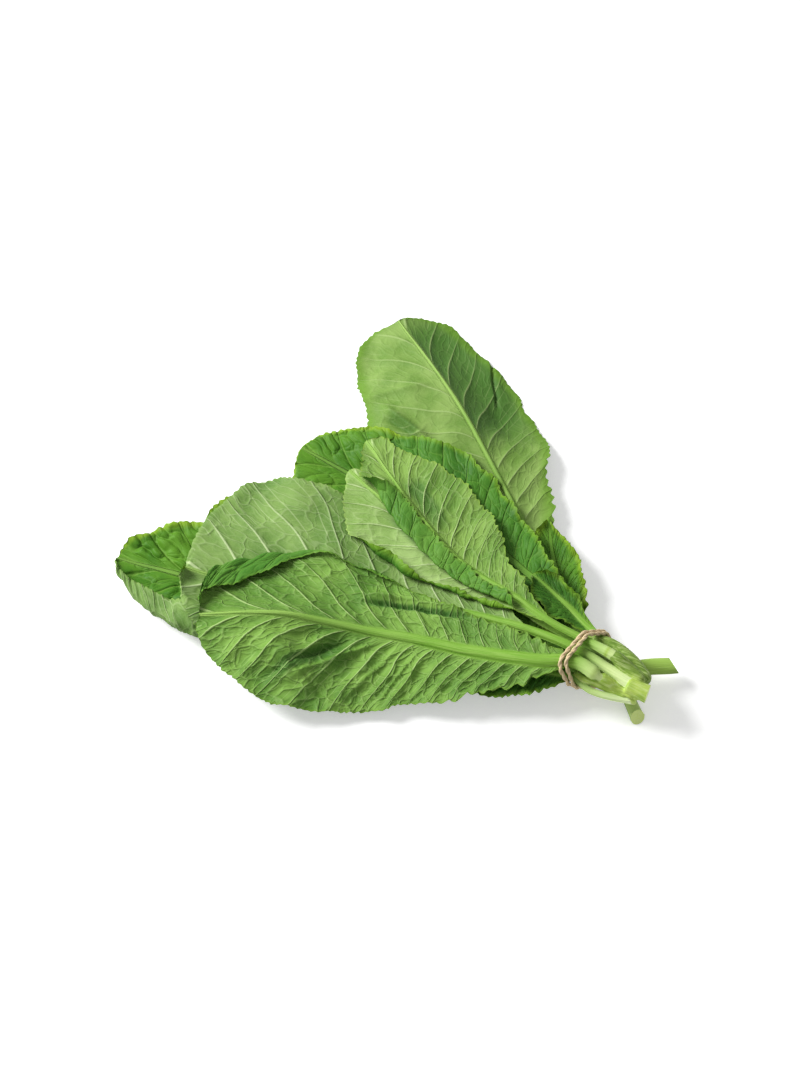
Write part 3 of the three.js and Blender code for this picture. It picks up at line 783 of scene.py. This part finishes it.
def cutSkin():
    # freshly cut stalk: pale wet flesh, evenly grained, a little shiny
    material = bpy.data.materials.new("cut_stalk_flesh")
    add = emptyTree(material)
    flesh = add("TexNoise", {"Vector": add("TexCoord").outputs["Object"],
                             "Scale": 1 / (grain["speck"] * mm), "Detail": 3.0})
    colour = add("Mix", {0: flesh, 6: linear(cutLook["deep"]), 7: linear(cutLook["light"])},
                 data_type="RGBA")
    bump = add("Bump", {"Height": flesh, "Distance": cutLook["bump"] * mm, "Strength": 0.6})
    add("OutputMaterial", {"Surface": add("BsdfPrincipled", {
        "Base Color": colour, "Roughness": cutLook["rough"], "Normal": bump})})
    return material


stalkLook = {
    "stalkEnd": "#dfe9b8", "stalkTie": "#c9dc94", "stalkBlade": "#72a232", "rib": "#709f36",
    # "shade" is the colour of the painted shade in folds and under overlapping leaves
    "ribTip": "#90b45a", "fibre": "#a9c86c", "ribShow": 1.0, "ring": "#93b13c", "shade": "#41702a",
    "lit": "#d8f06a",  # tint of the light that comes through
    "veinWidth": (0.05, 0.022),  # of the gap between veins, at the midrib and at the margin
    "crumple": 0.15, "specular": 0.2,
}
underLook = dict(stalkLook, deep="#588730", light="#83ae4c", vein="#b9d888", edge="#7da42f",
                 netShow=0.22, veinShow=0.9, edgeWidth=1.6, edgeShow=0.5, relief=0.85, rough=0.58,
                 through=0.22)
freshLook = dict(underLook, deep="#608d35", light="#87ac50", vein="#bdd88f", edge="#93b840", relief=0.6)
paleLook = dict(underLook, deep="#628a3d", light="#87aa59", vein="#cbdea6", edge="#86a94e", relief=0.55)
# painted light: a lighter tone over the whole leaf, standing for the lamp falling on its tip
paintedLightLook = dict(underLook, deep="#83aa50", light="#a9c878", vein="#c9dda0", edge="#a5c265", relief=0.4)
softLook = dict(underLook, stalkEnd="#cde591", stalkTie="#a3c45c", deep="#6f963f", light="#93b35f",
                vein="#afc881", edge="#6f9c30", relief=0.3, netShow=0.08, veinShow=0.6, ribShow=0.7,
                edgeWidth=9.0, edgeShow=0.85)
topLook = dict(stalkLook, stalkEnd="#93b64e", stalkTie="#8fb348", deep="#40781d", light="#609429",
               vein="#86b14c", edge="#9cc032", netShow=0.2, veinShow=0.4, edgeWidth=5.0, edgeShow=0.7,
               relief=-0.6, rough=0.5, through=0.2, ribShow=0.3)
rimLook = dict(topLook, deep="#4f8526", light="#74a038", edge="#9cb93a", edgeWidth=2.5)
rolledLook = dict(topLook, deep="#467f28", light="#66993a", edge="#7da53a", edgeWidth=2.0, edgeShow=0.35)
darkLook = dict(topLook, deep="#32681c", light="#4d8629", edge="#84b032", edgeWidth=3.5,
                stalkEnd="#e2edc2", stalkTie="#c0d88c")
skins = {
    "under": leafSkin("mustard_leaf_underside", underLook),  # matt, raised veins
    "fresh": leafSkin("mustard_leaf_underside_fresh", freshLook),  # lighter, of the middle leaf
    "young": leafSkin("mustard_leaf_underside_painted_light", paintedLightLook),  # the smallest leaf; its lighter tone is painted light, for its tip that faces the lamp
    "pale": leafSkin("mustard_leaf_underside_pale", paleLook),  # the oldest leaves' undersides
    "soft": leafSkin("mustard_leaf_underside_soft", softLook),  # smooth underside of the top leaf
    "top": leafSkin("mustard_leaf_upper_side", topLook),  # waxy, sunken veins
    "dark": leafSkin("mustard_leaf_upper_side_dark", darkLook),  # upper sides of the inner leaves
    "rim": leafSkin("mustard_leaf_upper_side_rim", rimLook),  # yellow-green turned-up margin
    "rolled": leafSkin("mustard_leaf_upper_side_rolled", rolledLook),  # where it shows on rolled margins
    "cut": cutSkin(),
}
print("skins made")

usual = {  # lengths in mm; pairs are for the left and the right side where nothing else is said
    "sweep": (0.45, 1.0),  # forward lean of the side veins, at the blade's base and at its tip
    "veins": 13,  # on each side
    "pleat": (0.6, 0.6),  # height of the folds between the side veins
    "quilt": 0.5,  # depth of the lines between the blisters
    "cell": 10,  # size of the blisters
    "swell": 2.0,  # height of the broad swellings
    "crinkle": 0.12,
    "wave": (1.2, 34),  # height and length of the margin's ruffles
    "teeth": ((8.5, 3.0), (4.6, 1.3)),  # spacing and depth, at the blade's base and at its tip
    "lobes": 1.3,  # uneven reach of the margin
    "taper": 1.3,  # the more, the longer the midrib stays thick
    "blunt": (2.0, 2.0),  # 2 is a round tip, more is squarer
    "fold": (0, 0),  # degrees that the blade slopes beside the midrib
    "bend": (0, 0),  # degrees that it slopes more towards the margin
    "rolls": [],  # margins that turn over, "from", "to" and "start" as shares of the blade
    "creases": [],  # raised or sunken lines
    "shades": [],  # painted shade: darker lines and patches where folds, creases and overlapping leaves shade the blade
    "raised": 0,  # height at which the bunch holds the stalk
    "slant": 0.3,  # how obliquely the stalk is cut, over its height
    "skew": 0,  # and over its width
    "neck": (0, 0, 1),  # share by which the stalk is thinner at the cut, up to there, ends there
    "rings": [],  # leaf scars, from the cut
    "columnStep": 1.3,  # between the mesh's columns
}
# "slot" is the stalk's place across the tie; "cut" and "rib" are the path before and after it;
# "left" and "right" are half widths of the blade from its base to its tip

leaves = [  # from the lowest to the uppermost
    dict(usual, node="leaf_top", face="under", skins=("soft", "rim"),
         slotName="leaf", stalk=4.6, base=0.33, slot=11, seed=11, slant=0.7,
         cut=[(153, -150, 4)], rib=[(96, -40, 9), (70, 17, 15), (41, 80, 17), (3, 152, 3)],
         left=[1, 24, 48, 66.5, 50, 48], right=[1, 17, 40, 56.5, 47.5, 36],
         fold=(-4, -10), bend=(-10, 10), quilt=0.15, crinkle=0.1, blunt=(3.4, 2.6), taper=0.5,
         # painted shade: a crease's shadow on the left half, and the right half that slopes away from the
         # lamp
         shades=[{"line": ((158, -43), (134, -33)), "width": 4, "depth": 0.6},
                 {"side": "right", "line": ((108, 24), (225, 24)), "width": 33, "depth": 0.85}],
         creases=[{"line": ((168, -43), (126, -29)), "height": 4.5, "width": 3.0},
                  {"line": ((179, 53), (138, 36)), "height": -3.4, "width": 1.6},
                  {"line": ((182, -48), (167, -9)), "height": 1.8, "width": 2.6},
                  {"line": ((158, -45), (130, -33)), "height": -2.6, "width": 2.2},
                  {"line": ((120, -20), (75, -16)), "height": 2.0, "width": 5.0}],
         rolls=[{"side": "right", "from": 0.46, "to": 0.94, "start": (-0.2, -0.2), "turn": -34,
                 "bend": 0.12}]),
    dict(usual, node="leaf_curl_right", face="top", skins=("pale", "top"),
         slotName="leaf", stalk=2.6, base=0.33, slot=13.5, seed=12,
         cut=[(138, -118, 4)], rib=[(112, -73, 5), (103, -43, 6), (100, -9, 5)],
         left=[1, 8, 12, 11, 6], right=[1, 11, 17, 12, 4], fold=(12, 18), bend=(10, 25),
         wave=(2.6, 21), quilt=0.9, crinkle=0.35, swell=3.0),
    dict(usual, node="leaf_back_centre", face="top", skins=("pale", "top"),
         slotName="leaf", stalk=3.0, base=0.16, slot=3.5, seed=13, quilt=1.3, swell=2.6,
         cut=[(135, -128, 4)], rib=[(55, -37, 4), (3, 8, 4), (-61, 50, 5)],
         left=[2, 12, 28, 38, 44, 44], right=[2, 12, 28, 36, 39, 36], fold=(6, 6), bend=(-4, -4)),
    dict(usual, node="leaf_left_back", face="top", skins=("pale", "top"),
         slotName="leaf", stalk=3.0, base=0.1, slot=-3, seed=14,
         cut=[(141, -133, 4)], rib=[(36, -66, 4), (-41, -29, 4), (-122, -3, 4)],
         left=[5, 15, 26, 33, 34, 30], right=[5, 15, 26, 33, 35, 31], fold=(4, 4)),
    dict(usual, node="leaf_left_tip", face="top", skins=("pale", "top"),
         slotName="leaf", stalk=4.6, neck=(-0.16, 22, 40), base=0.38, slot=-6, seed=15,
         quilt=1.9, cell=12, swell=3.4, skew=0.36,
         cut=[(176.5, -115, 9), (155, -118, 8)],
         rib=[(36, -96, 4), (-59, -75, 4), (-131, -48, 5), (-178, -34, 4)],
         left=[1, 30, 48, 60, 62, 54], right=[1, 24, 40, 42, 40, 36], fold=(2, 4), bend=(6, 0),
         rolls=[{"side": "left", "from": 0.45, "to": 1.2, "start": (0.63, 0.63), "turn": 168}]),
    dict(usual, node="leaf_under_front", face="top", skins=("pale", "dark"),
         slotName="leaf_dark", stalk=2.3, base=0.36, slot=-15, seed=16, raised=16, slant=0.8,
         cut=[(150.5, -146, 7.5)], rib=[(79, -123, 3), (36, -126, 3)],
         left=[1, 11, 13, 13, 10], right=[1, 10, 18, 20, 12], fold=(0, 4)),
    dict(usual, node="leaf_dark_band", face="top", skins=("pale", "dark"),
         slotName="leaf_dark", stalk=2.6, base=0.16, slot=11.8, seed=17, quilt=0.8,
         cut=[(150, -121.5, 4)], rib=[(87, -55, 4), (49, -11, 5), (-6, 48, 6)],
         left=[2, 14, 26, 29, 27, 22], right=[1, 10, 20, 28, 29, 22], fold=(6, 10), bend=(0, 6)),
    dict(usual, node="leaf_curl_low", face="top", skins=("pale", "dark"),
         slotName="leaf_dark", stalk=2.4, base=0.45, slot=17.6, seed=18, raised=15,
         cut=[(155, -136, 4)], rib=[(109, -77, 4), (88, -55, 4)],
         left=[1, 9, 14, 12, 8], right=[0.5, 3, 7, 9, 8], fold=(16, 12), bend=(14, 18),
         wave=(2.6, 19), quilt=0.9, crinkle=0.35, swell=3.0),
    dict(usual, node="leaf_left_large", face="under", skins=("pale", "top"),
         slotName="leaf", stalk=3.4, base=0.27, slot=0, seed=19, raised=26, neck=(-0.25, 4, 24),
         cut=[(148, -138.6, 5)],
         rib=[(79, -95, 4), (23, -75, 5), (-40, -68, 6), (-92, -56, 6), (-133, -45, 4)],
         left=[1, 19, 38, 47, 50, 44], right=[1, 32, 60, 77, 84, 84], fold=(-4, -2), bend=(-6, -4),
         quilt=0.3, pleat=(0.8, 0.8), crinkle=0.08, blunt=(2.8, 2.8), veins=11, taper=1.0),
    dict(usual, node="leaf_small_folded", face="under",
         skins=("young", "dark"), slotName="leaf", stalk=2.2, base=0.2, slot=7.8, seed=20, quilt=0.5,
         raised=20, cut=[(146, -126.5, 4)], rib=[(72, -77, 4), (36, -46, 4), (-4, -1, 5), (-29, 28, 5)],
         left=[0.5, 3, 16, 29, 31, 20], right=[0.5, 4, 16, 26, 22, 10], fold=(-2, -2),
         # painted shade: the hollow between this leaf and the middle leaf's rolled margin
         shades=[{"line": ((142, 1), (93, 3)), "width": 7, "depth": 0.85}],
         rolls=[{"side": "left", "from": 0.1, "to": 0.75, "start": (0.78, 0.78), "turn": 160}]),
    dict(usual, node="leaf_middle", face="under", skins=("fresh", "rolled"),
         slotName="leaf", stalk=2.5, base=0.22, slot=6.8, seed=21, raised=23, quilt=0.6, crinkle=0.25,
         # painted shade: the shadow of the rolled left margin on the right half beside the midrib
         shades=[{"side": "right", "line": ((98, 7), (140, 9)), "width": 6, "depth": 0.7}],
         taper=1.0, teeth=((7.5, 2.6), (5.0, 1.7)), rings=[5], neck=(-0.3, 6, 24),
         cut=[(136.5, -121, 4)],
         rib=[(98, -95, 8), (80, -79, 8), (43, -45, 10), (10, 0, 10), (-18, 50, 6)],
         left=[1, 13, 26, 30, 24, 9], right=[1, 14, 33, 36, 27, 14], fold=(0, 9), bend=(0, 2),
         rolls=[{"side": "left", "from": 0.12, "to": 0.8, "start": (0.46, 0.46), "turn": 174,
                 "bend": 0.26}]),
    dict(usual, node="leaf_front", face="under", skins=("under", "rolled"),
         slotName="leaf", stalk=4.3, base=0.11, slot=-9.1, seed=22, neck=(0.45, 4, 8), raised=22,
         cut=[(130.4, -134.7, 3)], taper=1.7,
         rib=[(90, -121.5, 8), (47, -110, 9), (4, -96.5, 13), (-53, -87, 13), (-122, -85, 8)],
         left=[1, 20, 42, 54, 56.5, 50.5], right=[4, 16, 27, 45, 60, 72], fold=(-13, 6), bend=(16, -20),
         pleat=(1.9, 1.0), crinkle=0.22, quilt=0.85, cell=8, veins=15, columnStep=0.95,
         blunt=(2.1, 4.0), swell=1.2, rings=[8],
         # painted shade: the groove under the ridge that the leaf below pushes up, and a deep crease in
         # the lower half
         shades=[{"line": ((70, 18.5), (132, 17)), "width": 2.2, "depth": 1.0},
                 {"line": ((140, -10), (188, -40)), "width": 4.5, "depth": 0.85}],
         creases=[{"line": ((118, -3), (171, -39)), "height": 3.0, "width": 1.6},
                  {"line": ((70, 23.5), (134, 22)), "height": 5.0, "width": 3.0},
                  {"line": ((70, 18.5), (132, 17)), "height": -4.5, "width": 1.8},
                  {"line": ((103, -3), (134, -46)), "height": 2.6, "width": 1.6},
                  {"line": ((91, -3), (109, -42)), "height": 2.2, "width": 1.6},
                  {"line": ((139, -8), (190, -40)), "height": -4.5, "width": 2.4},
                  {"line": ((150, -44), (185, -22)), "height": -2.4, "width": 2.0},
                  {"line": ((117, 21), (85, 24)), "height": -3.0, "width": 3.0}],
         rolls=[{"side": "right", "from": 0.42, "to": 1.32, "turn": 176, "bend": 0.11,
                 "start": (0.93, 0.93, 0.93, 0.92, 0.76, 0.65, 0.62, 0.62, 0.62, 0.62)}]),
]

twine = {  # mm
    "turns": 2,
    "beside": 2.6,  # from one turn to the next
    "ply": 0.88,  # radius of one ply
    "plyApart": 0.58,  # of that radius, from the cord's middle to the ply's
    "uneven": 0.08,  # share by which a ply's thickness varies
    "twist": 11.0,  # per turn of the plies
    "hairs": 260,
    "hairLength": 2.6,
    "hairRadius": (0.07, 0.025),  # at the root and at the tip
    "knotAt": 0.94,  # of the way round the ring, low on the far side
    # places as (across the bunch, up the ring, out of the ring) from the knot
    "tails": [(0, -3, 0), (1.8, 0, 0), (2.2, -3, -2), (1.5, -5, -6), (0, -7, -11)],
    "tailsApart": [(0, 0, 1.2), (0, 0, 1.2), (0, 0, 0.2), (0, -1, -0.8), (0, -1, -1.8)],
    "tailThin": 0.4,  # share by which a tail's end is thinner
    "wrapSize": (2.6, 2.1),  # out of the ring and across
    "wraps": ((-1.1, 0.0), (1.1, 0.5)),  # height and tilt of each turn round the knot
    "smoothAngle": 50,  # degrees
}


def ringPlane():
    # directions up the ring and out of it, towards the cut ends
    lean = math.radians(tie["lean"])
    up = np.array([0, 0, 1.0])
    rise = up * math.cos(lean) - tie["along"] * math.sin(lean)
    facing = tie["along"] * math.cos(lean) + up * math.sin(lean)
    return rise, facing


def stalkOutline(shift):
    # places, in the ring's plane moved by shift, where all the stalks' surfaces pass through it
    rise, facing = ringPlane()
    found = []
    for leaf in leaves:
        rows = leaf["sheets"]["fromTie"] < 60
        for sheet in (leaf["sheets"]["top"], leaf["sheets"]["bottom"]):
            p = sheet[rows] - tie["centre"]
            off = p @ facing - shift
            cross = (off[:-1] * off[1:] <= 0) & (np.abs(p[:-1] @ tie["across"]) < tie["halfSpan"])
            f = (off[:-1] / (off[:-1] - off[1:] + 1e-9))[..., None]
            q = (p[:-1] * (1 - f) + p[1:] * f)[cross]
            found.append(np.stack([q @ tie["across"], q @ rise], axis=1))
    return np.vstack(found)


def ringPath(shift, away, steps=720):
    # support points of the outline, pushed out by away, at even distances
    points = stalkOutline(shift)
    turn = np.linspace(0, 2 * math.pi, steps, endpoint=False)
    out = np.stack([np.cos(turn), np.sin(turn)], axis=1)
    path = points[(points @ out.T).argmax(axis=0)] + out * away
    path = np.vstack([path, path[:1]])
    reach = np.concatenate([[0], np.cumsum(np.linalg.norm(np.diff(path, axis=0), axis=1))])
    even = np.linspace(0, reach[-1], steps, endpoint=False)
    return np.stack([np.interp(even, reach, path[:, k]) for k in (0, 1)], axis=1)


def makeTwine():
    rise, facing = ringPlane()
    across = tie["across"]
    rng = np.random.default_rng(5)
    turns = []
    for n in range(twine["turns"]):
        shift = (n - (twine["turns"] - 1) / 2) * twine["beside"]
        flat = ringPath(shift, 2 * twine["ply"] + leafBuild["clearance"])
        turns.append(tie["centre"] + flat[:, :1] * across + flat[:, 1:] * rise + shift * facing)
    # the knot joins the turns, its two ends cross and hang down
    low = int(len(turns[0]) * twine["knotAt"])
    knot = turns[0][low] * 0.5 + turns[1][low] * 0.5
    axes = np.array([across, rise, facing])
    tails = [densePath(knot + (np.array(twine["tails"]) + side * np.array(twine["tailsApart"])) @ axes)
             for side in (-1, 1)]
    a = np.linspace(0, 2 * math.pi, 60, endpoint=False)[:, None]
    deep, wide = twine["wrapSize"]
    wraps = [knot + np.cos(a) * (facing * deep + rise * tilt) + np.sin(a) * across * wide + rise * height
             for height, tilt in twine["wraps"]]
    curve = bpy.data.curves.new("twine", "CURVE")
    curve.dimensions = "3D"
    curve.bevel_depth = mm
    curve.bevel_resolution = 3
    curve.use_fill_caps = True

    def strand(points, radii, closed):
        spline = curve.splines.new("POLY")
        spline.points.add(len(points) - 1)
        spline.points.foreach_set("co", np.hstack([points * mm, np.ones((len(points), 1))]).ravel())
        spline.points.foreach_set("radius", np.asarray(radii, float))
        spline.use_cyclic_u = closed

    surface = []
    cords = ([(line, True, facing) for line in turns] + [(line, True, rise) for line in wraps]
             + [(line, False, facing) for line in tails])
    for k, (line, closed, reference) in enumerate(cords):
        if closed:
            ahead = (np.roll(line, -1, axis=0) - np.roll(line, 1, axis=0)) / 2
        else:
            ahead = np.gradient(line, axis=0)
        steps = np.linalg.norm(ahead, axis=1)
        ahead = ahead / steps[:, None]
        reach = np.cumsum(steps)
        one = np.cross(ahead, reference)
        one /= np.linalg.norm(one, axis=1)[:, None]
        two = np.cross(ahead, one)
        twists = max(1, round(reach[-1] / twine["twist"]))
        angle = 2 * math.pi * twists * reach / reach[-1] + k
        radii = twine["ply"] * (1 + twine["uneven"] * valueNoise(reach / 3, reach * 0, 40 + k))
        if not closed:
            radii = radii * (1 - twine["tailThin"] * smooth(np.arange(len(line)) / len(line), 0.9, 1))
        for ply in (0, math.pi):
            out = one * np.cos(angle + ply)[:, None] + two * np.sin(angle + ply)[:, None]
            points = line + out * twine["ply"] * twine["plyApart"]
            strand(points, radii, closed)
            surface.append((points, out, ahead))
    # loose hairs that stand off the plies
    root, tip = twine["hairRadius"]
    for n in range(twine["hairs"]):
        points, out, ahead = surface[rng.integers(len(surface))]
        i = rng.integers(len(points))
        f = np.linspace(0, 1, 6)[:, None]
        lean = out[i] * rng.uniform(0.3, 1.0) + ahead[i] * rng.choice([-1, 1]) * rng.uniform(0.4, 1.2)
        curl = rng.normal(0, 0.35, 3)
        size = twine["hairLength"] * rng.uniform(0.4, 1.0)
        hair = points[i] + out[i] * 0.6 + (lean * f + curl * f * f) * size * 0.7
        hair[:, 2] = np.maximum(hair[:, 2], 0.1)
        strand(hair, root + (tip - root) * f[:, 0], False)
    piece = bpy.data.objects.new("twine", curve)
    bpy.context.scene.collection.objects.link(piece)
    bpy.ops.object.select_all(action="DESELECT")
    bpy.context.view_layer.objects.active = piece
    piece.select_set(True)
    bpy.ops.object.convert(target="MESH")
    piece = bpy.context.object
    piece.data.materials.clear()
    piece.data.materials.append(juteSkin())
    bpy.ops.object.shade_smooth_by_angle(angle=math.radians(twine["smoothAngle"]))
    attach(piece, "root")
    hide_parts("twine_tie")
    lowest = min(v.co.z for v in piece.data.vertices)
    print("twine", len(piece.data.polygons) * 2, "triangles, lowest", round(lowest / mm, 2), "mm")


juteLook = {
    # gap is painted shade between the fibres and lit a painted highlight on their tops; fibre and blotch
    # are the jute's own tones
    "gap": "#bfa57a", "fibre": "#dcc79c", "lit": "#f3e6c6", "blotch": "#d6b88c",
    "fibres": (14.0, 60.0, 1.0),  # along a ply and round it
    "blotchSize": 3.846,  # mm
    "bump": 0.4,  # mm
}


def juteSkin():
    # raw two-ply jute: dry pale tan fibres running along each ply, matt
    material = bpy.data.materials.new("jute_twine")
    add = emptyTree(material)
    strands = add("Mapping", {"Vector": add("UVMap", uv_map="UVMap"), "Scale": juteLook["fibres"]})
    fibre = add("TexNoise", {"Vector": strands, "Scale": 1.0, "Detail": 4.0, "Roughness": 0.7})
    blotch = add("TexNoise", {"Vector": add("TexCoord").outputs["Object"],
                              "Scale": 1 / (juteLook["blotchSize"] * mm), "Detail": 3.0})
    # fibre tone follows the bump's noise: painted shade in the sunken gaps, painted highlight on the
    # raised tops
    colour = add("ValToRGB", {0: fibre})
    steps = colour.color_ramp.elements
    steps[0].position, steps[0].color = 0.3, linear(juteLook["gap"])
    steps[1].position, steps[1].color = 0.68, linear(juteLook["lit"])
    steps.new(0.48).color = linear(juteLook["fibre"])
    tint = add("MapRange", {0: blotch, 1: 0.35, 2: 0.7, 3: 0.0, 4: 0.45})
    mixed = add("Mix", {0: tint, 6: colour, 7: linear(juteLook["blotch"])}, data_type="RGBA")
    bump = add("Bump", {"Height": fibre, "Distance": juteLook["bump"] * mm, "Strength": 0.9})
    add("OutputMaterial", {"Surface": add("BsdfPrincipled", {
        "Base Color": mixed, "Roughness": 0.9, "Specular IOR Level": 0.15, "Normal": bump})})
    return material


crown = {  # mm
    "start": (142.5, -137.5, 31.5),  # where the highest stalk joins
    "end": (156, -143.5, 29.5),  # the cut
    "radius": (5.376, 6.656),  # of the stem, at its start and at its end
    "sides": 7,
    "stemLength": 1.3,  # of the way from start to end
    "stemPlace": 0.7,  # of that way, where the stem's middle is
    "bevel": 1.6,
    "voxel": 0.45,
    "smoothing": 6,  # rounds
    "cutTilt": (0.1, 0, 0.12),
    "smoothAngle": 40,  # degrees
    "sheaths": [  # old leaf bases
        {"path": [(131, -124, 18), (141, -132, 21), (150, -140, 26)], "radius": [6.5, 7.0, 5.5]},
        {"path": [(135.3, -120.2, 36.6), (138.5, -122.5, 35.6), (143, -127, 32.6), (150, -134, 30.5)],
         "radius": [3.3, 4.2, 5.0, 5.4]},
        {"path": [(131, -112, 21), (138, -118, 23), (147, -127, 25)], "radius": [4.5, 5.0, 5.5]},
        {"path": [(121.5, -101.5, 25), (127, -104.5, 26.5), (133, -107, 27), (139.5, -112, 27),
                  (147.5, -121, 27.5), (154, -131.5, 28)], "radius": [2.4, 3.2, 4.0, 4.8, 5.2, 5.2]},
        {"path": [(129, -133.8, 31.4), (132.5, -135.5, 30), (136.5, -137, 28.2), (141.5, -139.5, 26.8),
                  (146, -142, 27)], "radius": [3.6, 3.4, 3.0, 2.6, 3.2]},
        {"path": [(113.5, -127.2, 23.5), (118, -130.5, 23.5), (125, -132, 22.8), (132, -134.5, 22.5),
                  (142, -139.5, 24)], "radius": [2.2, 2.8, 3.2, 3.8, 4.2]},
    ],
}


def makeCrown():
    # lumps of the stem and of old leaf bases, melted into one body and cut across
    start, end = Vector(crown["start"]), Vector(crown["end"])
    ahead = (end - start).normalized()
    turn = ahead.to_track_quat("Z", "Y").to_euler()
    bpy.ops.object.select_all(action="DESELECT")
    bpy.ops.mesh.primitive_cone_add(vertices=crown["sides"], radius1=crown["radius"][0] * mm,
                                    radius2=crown["radius"][1] * mm,
                                    depth=(end - start).length * mm * crown["stemLength"])
    stem = bpy.context.object
    stem.rotation_euler = turn
    stem.location = start.lerp(end, crown["stemPlace"]) * mm
    bevel = stem.modifiers.new("soften", "BEVEL")
    bevel.width = crown["bevel"] * mm
    bevel.segments = 3
    bpy.ops.object.modifier_apply(modifier="soften")
    lumps = [stem]
    for sheath in crown["sheaths"]:
        path = densePath(sheath["path"])[::12]
        known = np.linspace(0, 1, len(sheath["radius"]))
        for p, size in zip(path, np.interp(np.linspace(0, 1, len(path)), known, sheath["radius"])):
            bpy.ops.object.select_all(action="DESELECT")
            bpy.ops.mesh.primitive_ico_sphere_add(subdivisions=4, radius=1)
            lump = bpy.context.object
            lump.scale = Vector((size, size, size)) * mm
            lump.rotation_euler = turn
            lump.location = Vector(p) * mm
            lumps.append(lump)
    bpy.ops.object.select_all(action="DESELECT")
    for lump in lumps:
        lump.select_set(True)
    bpy.context.view_layer.objects.active = stem
    bpy.ops.object.join()
    piece = bpy.context.object
    piece.name = "crown"
    bpy.ops.object.transform_apply(location=True, rotation=True, scale=True)
    remesh = piece.modifiers.new("melt", "REMESH")
    remesh.mode = "VOXEL"
    remesh.voxel_size = crown["voxel"] * mm
    soften = piece.modifiers.new("soften", "SMOOTH")
    soften.iterations = crown["smoothing"]
    bpy.ops.object.modifier_apply(modifier="melt")
    bpy.ops.object.modifier_apply(modifier="soften")
    cutNormal = ahead + Vector(crown["cutTilt"])
    bpy.ops.object.mode_set(mode="EDIT")
    bpy.ops.mesh.select_all(action="SELECT")
    bpy.ops.mesh.bisect(plane_co=end * mm, plane_no=cutNormal, use_fill=True, clear_outer=True)
    bpy.ops.object.mode_set(mode="OBJECT")
    piece.data.materials.clear()
    piece.data.materials.append(crownSkin(ahead))
    piece.data.materials.append(skins["cut"])
    for face in piece.data.polygons:
        onCut = abs((face.center - end * mm).dot(cutNormal.normalized())) < 1e-5
        face.material_index = 1 if onCut else 0
    bpy.ops.object.shade_smooth_by_angle(angle=math.radians(crown["smoothAngle"]))
    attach(piece, "root")
    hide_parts("stump")
    print("crown", len(piece.data.polygons) * 2, "triangles")


crownLook = {
    "deep": "#98b84b", "light": "#b3cc5f", "green": "#6f8f3c", "streak": "#d5e4a0",
    "furrow": "#55742c",
    "greenFrom": (2.5, 7.5),  # mm to the side of the middle, where the green starts and is full
    "fibreWidth": 1.111,  # mm
    "fibreLength": 16.67,  # mm
    "blotch": 8.333,  # mm
    "bump": 0.5,  # mm
}


def crownSkin(ahead):
    # pale waxy stem with fibres along it, greener where old leaf bases wrap it
    material = bpy.data.materials.new("mustard_stem_crown")
    add = emptyTree(material)
    place = add("TexCoord").outputs["Object"]
    width, length = [1 / (crownLook[k] * mm) for k in ("fibreWidth", "fibreLength")]
    turn = ahead.to_track_quat("Z", "Y").inverted().to_euler()
    lined = add("Mapping", {"Vector": place, "Rotation": tuple(turn)})
    stretched = add("Mapping", {"Vector": lined, "Scale": (width, width, length)})
    fibre = add("TexNoise", {"Vector": stretched, "Scale": 1.0, "Detail": 3.0})
    blotch = add("TexNoise", {"Vector": place, "Scale": 1 / (crownLook["blotch"] * mm), "Detail": 3.0})
    # the side of the old leaf bases is greener
    across = ahead.cross(Vector((0, 0, 1))).normalized()
    sideways = add("VectorMath", {0: place, 1: tuple(across)}, operation="DOT_PRODUCT").outputs["Value"]
    begins, full = [(Vector(crown["start"]).dot(across) - k) * mm for k in crownLook["greenFrom"]]
    green = add("MapRange", {0: sideways, 1: begins, 2: full, 3: 0.0, 4: 0.8})
    streak = add("MapRange", {0: fibre, 1: 0.5, 2: 0.68, 3: 0.0, 4: 0.45})
    furrow = add("MapRange", {0: fibre, 1: 0.48, 2: 0.36, 3: 0.0, 4: 0.7})
    deeper = add("Math", {0: green, 1: 0.9, 2: 0.15}, operation="MULTIPLY_ADD")
    furrow = add("Math", {0: furrow, 1: deeper}, operation="MULTIPLY")
    colour = linear(crownLook["deep"])
    for amount, tone in ((add("MapRange", {0: blotch, 1: 0.38, 2: 0.62}), "light"), (green, "green"),
                         (streak, "streak"), (furrow, "furrow")):
        colour = add("Mix", {0: amount, 6: colour, 7: linear(crownLook[tone])}, data_type="RGBA")
    bump = add("Bump", {"Height": fibre, "Distance": crownLook["bump"] * mm, "Strength": 0.5})
    add("OutputMaterial", {"Surface": add("BsdfPrincipled", {
        "Base Color": colour, "Roughness": 0.55, "IOR": 1.42, "Specular IOR Level": 0.15,
        "Subsurface Weight": 0.1, "Subsurface Radius": (0.001, 0.0012, 0.0005), "Normal": bump})})
    return material


bpy.context.scene.view_settings.view_transform = "Standard"
makeCamera()
makeLight()
makeFloor()
layTwine()
for leaf in leaves:
    leaf["sheets"] = buildLeaf(leaf)
print("leaves laid")
makeCrown()
makeTwine()
